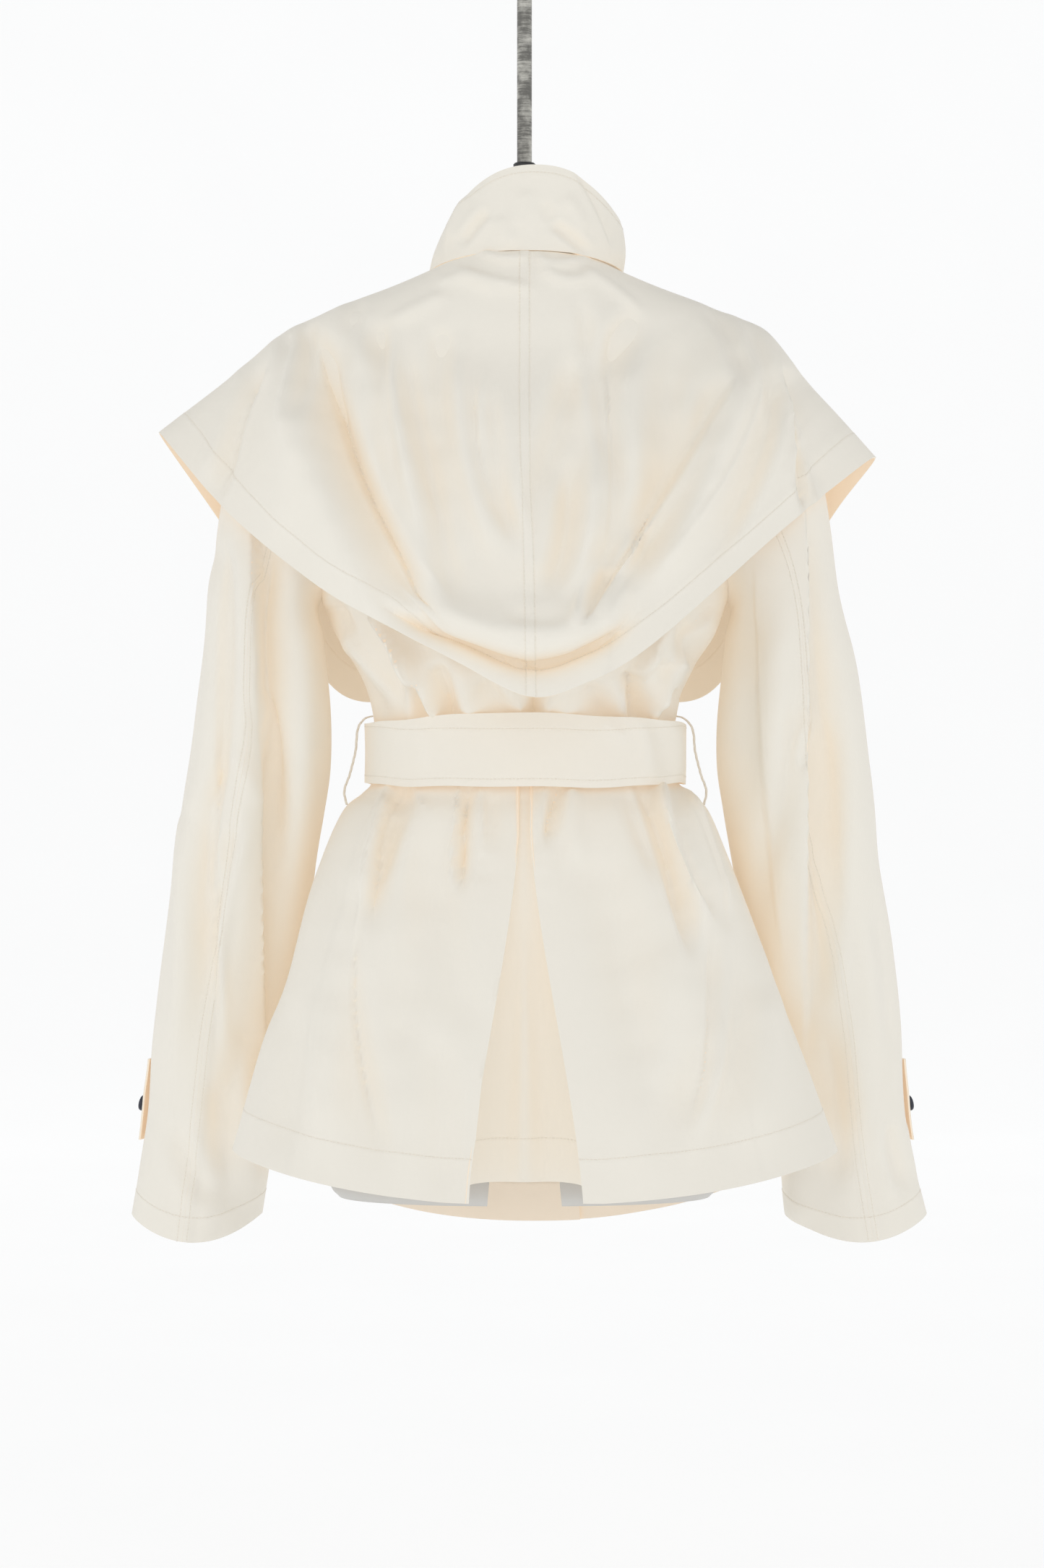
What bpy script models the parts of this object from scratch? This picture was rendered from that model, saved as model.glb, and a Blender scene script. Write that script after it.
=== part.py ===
# Cape jacket on a hanging dress form, as the pieces that a maker would cut and sew.
# Metres, +Z up. The wearer's front faces -Y and the wearer's left is +X.
# The origin is the top end of the steel rod that the form hangs on.
# Tables are in millimetres and are turned into metres where they are read.

import math

import bmesh
import bpy
import numpy as np

for old in list(bpy.data.objects):
    bpy.data.objects.remove(old, do_unlink=True)

mm = 0.001

# Cloth and seams
wallThickness = 1.6 * mm
seamGap = 0.3 * mm
seatGap = 0.95 * mm
bodyPower = 2.3
sleevePower = 2.0

# Rod, neck cap and form
rodRadius = 6.0 * mm
capRadius = 43.0 * mm
capThickness = 6.0 * mm
ferruleRadius = 9.0 * mm
ferruleTop = -157.0 * mm
formTop = -186.0 * mm
formBottom = -993.0 * mm
legGap = 62.0 * mm
legGapTop = -880.0 * mm
legGapPast = 20.0 * mm
legGapReach = 200.0 * mm

# Centre-back pleat of the skirt: closed at its top, open at the hem
pleatTop = -700.0 * mm
pleatRun = 285.0 * mm
pleatHalfAtTop = 4.5 * mm
pleatHalfOpening = 45.0 * mm
pleatDepthAtTop = 3.0 * mm
pleatDepth = 48.0 * mm
pleatRise = 0.25
pleatPush = 120.0 * mm
pleatZone = math.radians(9.0)

# Belt and its loops
beltThickness = 2.2 * mm
loopRadius = 1.1 * mm

# Tabs and buttons on the sleeves
tabWidth = 26.0 * mm
tabLength = 68.0 * mm
tabTop = -890.0 * mm
tabThickness = 2.2 * mm
tabStandOff = 2.4 * mm
tabSleeveRadius = 48.0 * mm
tabTurn = math.radians(14.0)
buttonRadius = 6.6 * mm
buttonThickness = 3.2 * mm
buttonDrop = 38.0 * mm
buttonGap = 0.8 * mm

# Armhole on the body's surface, in body levels and degrees
armholeMiddle = 9.4
armholeHalf = 2.25
armholeBackReach = 36.0
armholeFrontReach = 30.0
armholeCutDepth = 12.0 * mm
armholeGrowth = 0.004

cloth = (0.86, 0.82, 0.74)
formWhite = (0.90, 0.89, 0.87)
nearBlack = (0.02, 0.02, 0.025)
steel = (0.46, 0.44, 0.42)

# The form: key points of each ring, from the neck down
# Columns: sideX, sideZ, backY, backZ, frontY, frontZ
formRings = (
    (45.0, -186.0, 46.0, -186.0, -46.0, -186.0),
    (48.5, -214.0, 50.0, -206.0, -54.0, -222.0),
    (58.0, -240.0, 59.0, -225.0, -66.0, -256.0),
    (74.0, -252.5, 68.5, -241.0, -80.0, -290.0),
    (106.0, -264.5, 79.0, -263.0, -90.0, -312.0),
    (138.0, -275.5, 87.0, -291.0, -98.0, -342.0),
    (157.0, -283.0, 93.0, -320.0, -106.0, -370.0),
    (168.5, -302.0, 96.5, -350.0, -112.0, -400.0),
    (171.5, -336.0, 98.0, -385.0, -116.0, -430.0),
    (166.0, -380.0, 97.0, -425.0, -118.0, -460.0),
    (157.0, -430.0, 93.0, -465.0, -112.0, -495.0),
    (148.0, -475.0, 88.0, -505.0, -102.0, -530.0),
    (134.0, -530.0, 83.0, -550.0, -92.0, -570.0),
    (120.0, -580.0, 78.0, -590.0, -84.0, -600.0),
    (113.0, -632.0, 76.0, -632.0, -80.0, -632.0),
    (123.0, -680.0, 82.0, -680.0, -86.0, -680.0),
    (144.0, -740.0, 93.0, -740.0, -94.0, -740.0),
    (160.0, -800.0, 101.0, -800.0, -100.0, -800.0),
    (166.0, -850.0, 103.0, -850.0, -101.0, -850.0),
    (165.0, -910.0, 98.0, -910.0, -98.0, -910.0),
    (160.0, -960.0, 92.0, -960.0, -92.0, -960.0),
    (157.0, -984.0, 89.0, -984.0, -89.0, -984.0),
    (150.0, -993.0, 82.0, -993.0, -82.0, -993.0),
)

# How far the bodice stands off the form
# Columns: level, side, back, front
bodiceEase = (
    (3.0, 0.0, 0.0, 0.0),
    (5.0, 0.0, 0.0, 0.0),
    (6.0, 0.0, 0.0, 0.0),
    (7.0, 0.5, 1.0, 2.0),
    (8.0, 2.5, 4.0, 4.0),
    (9.0, 6.0, 7.0, 6.0),
    (10.0, 14.0, 17.0, 15.0),
    (11.0, 21.0, 27.0, 26.0),
    (12.0, 21.0, 35.0, 34.0),
    (12.7, 11.0, 34.0, 33.0),
    (13.25, 4.5, 14.0, 7.0),
    (13.6, 4.5, 11.0, 6.0),
    (14.0, 7.0, 12.0, 7.0),
)

# Skirt rings from the waist seam to the hem
# Columns: rightX, leftX, sideY, sideZ, backY, backZ, frontY, frontZ
skirtRings = (
    (-122.3, 122.3, 0.0, -632.3, 90.4, -632.3, -89.4, -632.3),
    (-123.2, 122.8, 0.0, -657.0, 91.0, -658.0, -90.2, -657.0),
    (-134.0, 131.5, 1.0, -668.0, 97.0, -671.0, -96.0, -670.0),
    (-150.0, 149.0, 3.0, -684.0, 108.0, -690.0, -104.0, -690.0),
    (-171.0, 169.5, 7.0, -734.0, 123.0, -742.0, -114.0, -748.0),
    (-201.0, 192.0, 12.0, -817.0, 143.0, -832.0, -129.0, -845.0),
    (-220.0, 210.0, 15.0, -868.0, 153.0, -887.0, -139.0, -905.0),
    (-252.0, 234.0, 20.0, -952.0, 168.0, -982.0, -155.0, -1032.0),
)

# Left sleeve rings below the armpit, with the extra width of the right sleeve
# Columns: innerX, outerX, sideY, sideZ, backY, backZ, frontY, frontZ, rightExtra
sleeveRings = (
    (163.0, 257.0, 0.0, -540.0, 55.0, -540.0, -57.0, -540.0, 4.0),
    (157.5, 266.0, -8.0, -600.0, 45.0, -602.0, -62.0, -600.0, 8.0),
    (157.5, 273.0, -18.0, -645.0, 34.0, -648.0, -70.0, -645.0, 8.0),
    (163.0, 279.0, -26.0, -682.0, 25.0, -685.0, -77.0, -682.0, 7.0),
    (171.0, 286.0, -37.0, -727.0, 14.0, -730.0, -87.0, -727.0, 5.0),
    (181.0, 297.0, -56.0, -788.0, -6.0, -790.0, -106.0, -788.0, 6.0),
    (197.0, 308.0, -80.0, -861.0, -32.0, -864.0, -128.0, -861.0, 5.0),
    (211.0, 318.0, -108.0, -948.0, -62.0, -954.0, -153.0, -950.0, 3.0),
    (221.0, 331.0, -128.0, -1022.0, -84.0, -1042.0, -172.0, -1034.0, 9.0),
)

# Collar, from its seam up, with the skirt's columns
collarRings = (
    (-80.0, 77.5, 0.0, -247.4, 73.6, -237.9, -86.6, -285.2),
    (-82.0, 73.5, 0.0, -231.0, 70.0, -212.0, -82.0, -262.0),
    (-81.0, 67.5, 0.0, -216.0, 67.5, -189.0, -77.0, -243.0),
    (-78.0, 61.0, 0.0, -205.5, 66.0, -169.0, -76.0, -226.0),
)

# Belt, from its top edge down, with the skirt's columns
beltRings = (
    (-131.0, 129.5, 0.0, -612.0, 98.5, -604.5, -101.0, -608.0),
    (-130.5, 129.0, 0.0, -635.0, 97.0, -633.0, -98.5, -633.0),
    (-130.5, 129.5, 0.0, -659.5, 97.0, -662.5, -98.5, -660.0),
)
# Degrees around the waist: both ends of the belt and where its end climbs over
beltEnds = (-100.0, 284.0)
beltClimb = (240.0, 256.0)

# Left thread loop over the belt
# Columns: share of the length, x, z
loopPoints = (
    (0.0, 122.9, -605.0),
    (0.06, 127.8, -606.2),
    (0.15, 133.0, -611.0),
    (0.41, 137.0, -634.0),
    (0.66, 141.5, -652.0),
    (0.89, 146.0, -668.0),
    (1.0, 144.0, -676.8),
)
rightLoopShift = -1.4 * mm

# Cape meridians past the shoulder: neck angle in degrees, then three points
# Columns: angle, middleX, middleY, middleZ, lowX, lowY, lowZ, hemX, hemY, hemZ
capeBackMeridians = (
    (0.0, 194.0, 0.0, -294.0, 243.0, -4.0, -333.0, 297.0, -8.0, -374.5),
    (16.0, 186.0, 44.0, -322.0, 214.0, 58.0, -385.0, 236.0, 60.0, -444.0),
    (32.0, 150.0, 86.0, -345.0, 166.0, 106.0, -425.0, 167.0, 115.0, -501.0),
    (50.0, 104.0, 108.0, -362.0, 112.0, 136.0, -455.0, 109.0, 145.0, -536.0),
    (72.0, 48.0, 124.0, -375.0, 50.0, 154.0, -478.0, 48.0, 167.0, -569.0),
    (90.0, 0.0, 128.0, -380.0, -3.0, 160.0, -485.0, -5.0, 178.0, -594.5),
    (108.0, -48.0, 124.0, -376.0, -52.0, 156.0, -482.0, -49.0, 171.0, -582.0),
    (130.0, -100.0, 110.0, -364.0, -104.0, 140.0, -462.0, -97.0, 155.0, -553.5),
    (148.0, -148.0, 88.0, -348.0, -158.0, 112.0, -430.0, -151.0, 130.0, -506.6),
    (164.0, -190.0, 50.0, -322.0, -216.0, 70.0, -386.0, -211.0, 80.0, -453.0),
    (180.0, -195.0, 0.0, -293.0, -235.0, -4.0, -340.0, -285.0, -8.0, -394.0),
)
# The left front; the right front is its mirror image
capeFrontMeridians = (
    (-90.0, 0.0, -142.0, -428.0, 0.0, -158.0, -505.0, 0.0, -164.0, -592.0),
    (-70.0, 55.0, -138.0, -421.0, 70.0, -155.0, -500.0, 88.0, -160.0, -588.0),
    (-52.0, 110.0, -129.0, -400.0, 132.0, -144.0, -485.0, 155.0, -148.0, -584.0),
    (-34.0, 162.0, -100.0, -358.0, 184.0, -114.0, -438.0, 205.0, -116.0, -515.0),
    (-16.0, 194.0, -48.0, -316.0, 228.0, -60.0, -376.0, 260.0, -58.0, -431.0),
)

# The pouch over the cape's hem: where along the meridian it swells and tucks in
pouchSwell = 20.0 * mm
pouchTuck = 20.0 * mm
pouchSag = 7.0 * mm
pouchSwellAt = 0.885
pouchSagAt = 0.905
pouchTuckAt = 0.935
pouchLean = -0.02
pouchSwellWidth = 0.05
pouchSagWidth = 0.025
pouchTuckWidth = 0.024
pouchFrom = 48.0
pouchTo = 128.0
pouchFade = 20.0

# Where the cape's key points lie along a meridian: four seated ones, middle, low and hem
capePlaces = np.array([0.0, 0.08, 0.17, 0.27, 0.48, 0.74, 1.0])
capeSeated = 0.27

# Folds, as curves seen from the back with a half width and a height; minus is a trough
# Columns: startX, startZ, midX, midZ, endX, endZ, width, height
capeFolds = (
    (168.0, -290.0, 140.0, -402.0, 72.0, -532.0, 18.0, -12.0),
    (192.0, -310.0, 168.0, -425.0, 108.0, -520.0, 16.0, 7.0),
    (134.0, -285.0, 104.0, -400.0, 46.0, -520.0, 18.0, 9.0),
    (90.0, -290.0, 72.0, -420.0, 28.0, -520.0, 16.0, -7.0),
    (48.0, -290.0, 42.0, -400.0, 14.0, -500.0, 16.0, 5.0),
    (-40.0, -290.0, -42.0, -400.0, -24.0, -520.0, 16.0, -6.0),
    (-82.0, -300.0, -76.0, -420.0, -38.0, -535.0, 17.0, 8.0),
    (-120.0, -300.0, -110.0, -440.0, -60.0, -540.0, 16.0, -10.0),
    (-160.0, -300.0, -150.0, -410.0, -100.0, -520.0, 17.0, 8.0),
    (-206.0, -330.0, -216.0, -380.0, -222.0, -440.0, 11.0, -5.0),
)
capeFrontFolds = (
    (150.0, -300.0, 140.0, -420.0, 118.0, -560.0, 16.0, -8.0),
    (95.0, -320.0, 92.0, -440.0, 84.0, -580.0, 16.0, 7.0),
    (40.0, -420.0, 42.0, -480.0, 46.0, -580.0, 14.0, -5.0),
    (190.0, -320.0, 196.0, -400.0, 190.0, -500.0, 14.0, 6.0),
)
bodiceFolds = (
    (86.0, -520.0, 82.0, -565.0, 78.0, -610.0, 10.0, -5.0),
    (50.0, -510.0, 50.0, -560.0, 50.0, -610.0, 10.0, -5.0),
    (-10.0, -520.0, -10.0, -565.0, -10.0, -610.0, 10.0, -5.0),
    (-46.0, -505.0, -48.0, -560.0, -50.0, -605.0, 11.0, 4.0),
    (-88.0, -515.0, -86.0, -565.0, -84.0, -610.0, 10.0, -5.0),
    (112.0, -470.0, 108.0, -540.0, 98.0, -600.0, 10.0, 4.0),
    (-112.0, -470.0, -110.0, -540.0, -100.0, -600.0, 10.0, 4.0),
)
skirtFolds = (
    (92.0, -668.0, 108.0, -700.0, 120.0, -745.0, 9.0, -6.0),
    (44.0, -668.0, 48.0, -700.0, 52.0, -745.0, 8.0, -5.0),
    (-32.0, -668.0, -34.0, -700.0, -38.0, -760.0, 8.0, 4.0),
    (-88.0, -668.0, -104.0, -720.0, -130.0, -790.0, 9.0, -7.0),
    (-112.0, -668.0, -130.0, -720.0, -150.0, -780.0, 9.0, 6.0),
    (112.0, -690.0, 140.0, -820.0, 165.0, -960.0, 20.0, 10.0),
    (80.0, -700.0, 98.0, -830.0, 112.0, -980.0, 20.0, -10.0),
    (-70.0, -720.0, -92.0, -840.0, -108.0, -980.0, 20.0, -10.0),
    (-105.0, -720.0, -135.0, -840.0, -160.0, -960.0, 20.0, 10.0),
)
skirtFrontFolds = (
    (60.0, -668.0, 72.0, -800.0, 84.0, -1000.0, 16.0, -7.0),
    (95.0, -668.0, 118.0, -800.0, 138.0, -980.0, 16.0, 7.0),
    (47.0, -668.0, 50.0, -720.0, 54.0, -780.0, 8.0, 4.0),
    (120.0, -680.0, 146.0, -760.0, 170.0, -860.0, 12.0, -6.0),
)
sleeveFolds = (
    (216.0, -600.0, 202.0, -680.0, 196.0, -780.0, 13.0, -8.0),
    (240.0, -620.0, 244.0, -700.0, 262.0, -830.0, 12.0, -6.0),
    (226.0, -860.0, 246.0, -930.0, 262.0, -1000.0, 12.0, -5.0),
)

# Half of a side or shoulder seam, the collar's opening and the gap between the cape fronts
seamAngle = math.radians(0.08)
sleeveSeamAt = math.radians(80.0)
sleeveSeamAngle = math.radians(0.19)
collarOpening = math.radians(1.2)
capeFrontGap = math.radians(1.2)


# Curves and surfaces

def smoothRows(keys, rows, at):
    # Smooth curve through rows of values, one row for each key
    keys = np.asarray(keys, float)
    rows = np.asarray(rows, float)
    at = np.asarray(at, float)
    slopes = np.gradient(rows, keys, axis=0)
    index = np.clip(np.searchsorted(keys, at, side="right") - 1, 0, len(keys) - 2)
    span = (keys[index + 1] - keys[index])[..., None]
    t = (at - keys[index])[..., None] / span
    start = (1 + 2 * t) * (1 - t) ** 2 * rows[index] + t * (1 - t) ** 2 * span * slopes[index]
    end = t * t * (3 - 2 * t) * rows[index + 1] + t * t * (t - 1) * span * slopes[index + 1]
    return start + end


def smoothStep(low, high, value):
    t = np.clip((value - low) / (high - low), 0.0, 1.0)
    return t * t * (3 - 2 * t)


def roundPower(value, power):
    return np.sign(value) * np.abs(value) ** (2.0 / power)


def ringPoint(row, angle, power):
    # Point of a ring at an angle: 0 is the high X side, 90 degrees the back
    lowX, highX, sideY, sideZ, backY, backZ, frontY, frontZ = np.moveaxis(row, -1, 0)
    across = np.cos(angle)
    along = np.sin(angle)
    isBack = along >= 0
    reach = np.where(isBack, backY - sideY, sideY - frontY)
    drop = np.where(isBack, backZ - sideZ, frontZ - sideZ)
    x = (lowX + highX) / 2 + (highX - lowX) / 2 * roundPower(across, power)
    y = sideY + reach * roundPower(along, power)
    z = sideZ + drop * along ** 2
    return np.stack([x, y, z], axis=-1)


def surfaceNormal(surface, u, v, step=0.004):
    # Outward where u turns counterclockwise seen from above and v runs down
    alongU = surface(u + step, v) - surface(u - step, v)
    alongV = surface(u, v + step) - surface(u, v - step)
    normal = np.cross(alongV, alongU)
    return normal / np.linalg.norm(normal, axis=-1, keepdims=True)


def foldHeight(folds, x, z):
    # Height of soft ridges and troughs that follow curves seen from the back
    total = np.zeros(np.broadcast(x, z).shape)
    steps = np.linspace(0.0, 1.0, 9)
    for startX, startZ, midX, midZ, endX, endZ, width, height in np.array(folds) * mm:
        for t, tNext in zip(steps[:-1], steps[1:]):
            middle = (t + tNext) / 2
            taper = math.sin(math.pi * min(1.0, 0.12 + middle)) ** 0.6
            px = (1 - middle) ** 2 * startX + 2 * middle * (1 - middle) * midX + middle ** 2 * endX
            pz = (1 - middle) ** 2 * startZ + 2 * middle * (1 - middle) * midZ + middle ** 2 * endZ
            run = math.hypot(endX - startX, endZ - startZ) / 8
            alongX = (endX - startX) / 8 / run
            alongZ = (endZ - startZ) / 8 / run
            across = (x - px) * alongZ - (z - pz) * alongX
            forward = (x - px) * alongX + (z - pz) * alongZ
            near = np.exp(-((across / width) ** 2)) * np.exp(-((forward / (0.62 * run)) ** 2))
            total = total + 0.9 * height * taper * near
    return total


def withFolds(surface, folds, mirrored=False, calmTo=0.0, sideCalm=0.2):
    # calmTo is the v up to which the cloth lies flat on what carries it
    # The folds fade out at the side seams, so that both pieces meet there
    side = -1.0 if mirrored else 1.0

    def folded(u, v):
        point = surface(u, v)
        height = foldHeight(folds, side * point[..., 0], point[..., 2])
        height = height * smoothStep(calmTo - 0.001, calmTo + 0.15, v)
        if sideCalm:
            height = height * smoothStep(0.0, sideCalm, np.abs(np.sin(u)))
        return point + surfaceNormal(surface, u, v) * height[..., None]

    return folded


# Body surfaces

def bodyPoint(angle, level):
    sideX, sideZ, backY, backZ, frontY, frontZ = np.moveaxis(
        smoothRows(range(len(formRings)), formRings, level) * mm, -1, 0
    )
    none = np.zeros_like(sideX)
    row = np.stack([-sideX, sideX, none, sideZ, backY, backZ, frontY, frontZ], axis=-1)
    return ringPoint(row, angle, bodyPower)


def layerPoint(angle, level, offset):
    # Body surface moved out along its normal, plus the bodice's own ease
    ease = smoothRows([row[0] for row in bodiceEase], [row[1:] for row in bodiceEase], level) * mm
    along = np.sin(angle)
    front = np.where(along >= 0, ease[..., 1], ease[..., 2])
    reach = ease[..., 0] * np.cos(angle) ** 2 + front * along ** 2
    outward = np.stack([np.cos(angle), along, np.zeros_like(reach)], axis=-1)
    normal = surfaceNormal(bodyPoint, angle, level)
    return bodyPoint(angle, level) + normal * offset + outward * reach[..., None]


def bodicePoint(angle, level):
    return layerPoint(angle, level, seatGap + wallThickness)


def ringSurface(rings, power):
    def point(angle, level):
        row = smoothRows(range(len(rings)), rings, level) * mm
        return ringPoint(row, angle, power)

    return point


skirtPoint = ringSurface(skirtRings, bodyPower)
skirtFolded = withFolds(skirtPoint, skirtFolds)
collarPoint = ringSurface(collarRings, bodyPower)
beltPoint = ringSurface(beltRings, bodyPower)


def frontLift(angle):
    # Room for the second front where the two fronts overlap
    return (seatGap + wallThickness) * smoothStep(0.86, 0.97, -np.sin(angle))


def capeRows():
    # All meridians once round: left front, back, then the mirrored right front
    left = np.array(capeFrontMeridians)
    right = left[::-1].copy()
    right[:, 0] = 180.0 - right[:, 0]
    right[:, 1::3] = -right[:, 1::3]
    return np.concatenate([left, np.array(capeBackMeridians), right])


def capePoint(angle, v):
    # Seated on the bodice to level 6, then smooth through the table's points
    table = capeRows()
    degrees = np.degrees(angle)
    values = smoothRows(table[:, 0], table[:, 1:], degrees) * mm
    keys = [
        layerPoint(angle, np.full_like(angle, level), 2 * (seatGap + wallThickness))
        + surfaceNormal(bodyPoint, angle, np.full_like(angle, level)) * frontLift(angle)[..., None]
        for level in (3.0, 4.0, 5.0, 6.0)
    ]
    rows = np.stack(keys + [values[..., 0:3], values[..., 3:6], values[..., 6:9]], axis=0)
    slopes = np.gradient(rows, capePlaces, axis=0)
    index = np.clip(np.searchsorted(capePlaces, v, side="right") - 1, 0, len(capePlaces) - 2)
    span = (capePlaces[index + 1] - capePlaces[index])[..., None]
    t = (v - capePlaces[index])[..., None] / span

    def pick(stack, at):
        return np.take_along_axis(stack, at[None, ..., None], axis=0)[0]

    result = (1 + 2 * t) * (1 - t) ** 2 * pick(rows, index)
    result = result + t * (1 - t) ** 2 * span * pick(slopes, index)
    result = result + t * t * (3 - 2 * t) * pick(rows, index + 1)
    result = result + t * t * (t - 1) * span * pick(slopes, index + 1)
    inPouch = smoothStep(pouchFrom, pouchFrom + pouchFade, degrees)
    inPouch = inPouch * (1 - smoothStep(pouchTo - pouchFade, pouchTo, degrees))
    shift = v - pouchLean * (degrees - 90) / 30
    swell = pouchSwell * np.exp(-(((shift - pouchSwellAt) / pouchSwellWidth) ** 2))
    tuck = pouchTuck * np.exp(-(((shift - pouchTuckAt) / pouchTuckWidth) ** 2))
    sag = pouchSag * np.exp(-(((shift - pouchSagAt) / pouchSagWidth) ** 2))
    result[..., 1] = result[..., 1] + (swell - tuck) * inPouch
    result[..., 2] = result[..., 2] - sag * inPouch
    return result


def pleatPath(across):
    # Section of the inverted pleat: across runs -1 to 1 through the opening
    keys = (-1.0, -0.8, -0.55, -0.35, 0.0, 0.35, 0.55, 0.8, 1.0)
    rows = (
        (-1.0, 0.0), (-1.03, 0.45), (-0.98, 0.85), (-0.7, 1.0), (0.0, 1.03),
        (0.7, 1.0), (0.98, 0.85), (1.03, 0.45), (1.0, 0.0),
    )
    return smoothRows(keys, rows, across)


def skirtBackPoint(u, level):
    # u runs 0 to 180 degrees, with the pleat in the zone around 90
    outer = skirtFolded(u, level)
    middle = skirtPoint(np.full_like(u, math.pi / 2), level)
    below = np.clip((pleatTop - middle[..., 2]) / pleatRun, 0.0, 1.0)
    opening = 0.5 * smoothStep(0.0, 1.0, below) + 0.5 * below
    half = pleatHalfAtTop + (pleatHalfOpening - pleatHalfAtTop) * opening
    depth = pleatDepthAtTop + (pleatDepth - pleatDepthAtTop) * opening
    across = (u - math.pi / 2) / pleatZone
    path = pleatPath(np.clip(across, -1.0, 1.0))
    inside = np.abs(across) < 1.0
    # Beside the pleat the cloth is pushed aside, so that it starts at the pleat's edge
    edge = skirtPoint(np.full_like(u, math.pi / 2 - pleatZone), level)[..., 0]
    near = 1 - smoothStep(0.0, pleatPush, np.abs(outer[..., 0]))
    pushed = outer[..., 0] + np.sign(outer[..., 0]) * (half - edge) * near
    x = np.where(inside, -path[..., 0] * half, pushed)
    y = outer[..., 1] - np.where(inside, path[..., 1] * depth, 0.0)
    z = outer[..., 2] + np.where(inside, path[..., 1] * depth * pleatRise, 0.0)
    return np.stack([x, y, z], axis=-1)


def armholePoint(around, offset):
    # Curve of the armhole seam on the left side of the bodice, 0 at its top
    level = armholeMiddle - armholeHalf * np.cos(around)
    reach = np.where(np.sin(around) >= 0, armholeBackReach, armholeFrontReach)
    angle = np.radians(reach) * np.sin(around)
    return layerPoint(angle, level, seatGap + wallThickness + offset)


def sleevePoint(extraScale, inset):
    # Sleeve surface: v from 0 at the armhole to 1 at the armpit ring, then ring numbers
    rows = np.array(sleeveRings)
    rings = rows[:, :8].copy()
    rings[:, 1] += rows[:, 8] * extraScale

    def lower(around, level):
        row = smoothRows(range(len(rings)), rings, level) * mm
        return ringPoint(row, around, sleevePower)

    def point(around, v):
        around, v = np.broadcast_arrays(around, v)
        first = armholePoint(around, inset)
        last = lower(around, np.zeros_like(v))
        chord = np.linalg.norm(last - first, axis=-1, keepdims=True)
        lean = 0.5 + 0.5 * np.cos(around)
        out = np.stack([0.75 + 0.1 * lean, 0.25 * np.sin(around), -0.65 + 0.12 * lean], axis=-1)
        out = out / np.linalg.norm(out, axis=-1, keepdims=True)
        down = lower(around, np.full_like(v, 0.02)) - lower(around, np.full_like(v, -0.02))
        down = down / np.linalg.norm(down, axis=-1, keepdims=True)
        t = np.minimum(v, 1.0)[..., None]
        upper = (1 + 2 * t) * (1 - t) ** 2 * first + t * (1 - t) ** 2 * 1.15 * chord * out
        upper = upper + t * t * (3 - 2 * t) * last + t * t * (t - 1) * 1.15 * chord * down
        return np.where(v[..., None] < 1.0, upper, lower(around, np.maximum(v - 1.0, 0.0)))

    return point


# Meshes and objects

def makeMaterial(name, colour, roughness, metallic):
    material = bpy.data.materials.new(name + "_material")
    material.use_nodes = True
    shader = material.node_tree.nodes["Principled BSDF"]
    shader.inputs["Base Color"].default_value = (*colour, 1.0)
    shader.inputs["Roughness"].default_value = roughness
    shader.inputs["Metallic"].default_value = metallic
    return material


def addObject(name, vertices, faces, colour, roughness=0.9, metallic=0.0):
    mesh = bpy.data.meshes.new(name)
    build = bmesh.new()
    made = [build.verts.new(vertex) for vertex in vertices]
    for face in faces:
        build.faces.new([made[corner] for corner in face])
    bmesh.ops.recalc_face_normals(build, faces=build.faces)
    if build.calc_volume(signed=True) < 0:
        bmesh.ops.reverse_faces(build, faces=build.faces)
    build.to_mesh(mesh)
    build.free()
    mesh.shade_smooth()
    mesh.set_sharp_from_angle(angle=math.radians(50))
    shape = bpy.data.objects.new(name, mesh)
    bpy.context.scene.collection.objects.link(shape)
    mesh.materials.append(makeMaterial(name, colour, roughness, metallic))
    return shape


def addWall(name, surface, u, v, thickness=wallThickness, colour=cloth):
    # Cloth wall over a surface: outer grid, inner grid moved along the normal, and rims
    gridU, gridV = np.meshgrid(np.asarray(u, float), np.asarray(v, float))
    outer = surface(gridU, gridV)
    inner = outer - surfaceNormal(surface, gridU, gridV) * thickness
    rows, columns = gridU.shape
    size = rows * columns

    def corner(layer, row, column):
        return layer * size + row * columns + column

    faces = []
    for row in range(rows - 1):
        for column in range(columns - 1):
            loop = ((row, column), (row, column + 1), (row + 1, column + 1), (row + 1, column))
            faces.append([corner(0, *place) for place in loop])
            faces.append([corner(1, *place) for place in reversed(loop)])
    for column in range(columns - 1):
        for row in (0, rows - 1):
            faces.append([
                corner(0, row, column), corner(0, row, column + 1),
                corner(1, row, column + 1), corner(1, row, column),
            ])
    for row in range(rows - 1):
        for column in (0, columns - 1):
            faces.append([
                corner(0, row, column), corner(0, row + 1, column),
                corner(1, row + 1, column), corner(1, row, column),
            ])
    vertices = np.concatenate([outer.reshape(-1, 3), inner.reshape(-1, 3)])
    return addObject(name, vertices.tolist(), faces, colour)


def ringFaces(rows, count, sides):
    # Faces from each of the rows to the next, with the first row after the last
    faces = []
    for row in rows:
        here = row * sides
        following = (row + 1) % count * sides
        for side in range(sides):
            beside = (side + 1) % sides
            faces.append([here + side, here + beside, following + beside, following + side])
    return faces


def addTube(name, rings, colour, roughness=0.9, metallic=0.0):
    # Solid through rings of points, closed by a fan at each end
    rings = np.asarray(rings)
    count, sides = rings.shape[:2]
    vertices = rings.reshape(-1, 3).tolist()
    faces = ringFaces(range(count - 1), count, sides)
    for row in (0, count - 1):
        vertices.append(rings[row].mean(axis=0).tolist())
        for side in range(sides):
            following = (side + 1) % sides
            faces.append([row * sides + side, row * sides + following, len(vertices) - 1])
    return addObject(name, vertices, faces, colour, roughness, metallic)


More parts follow.
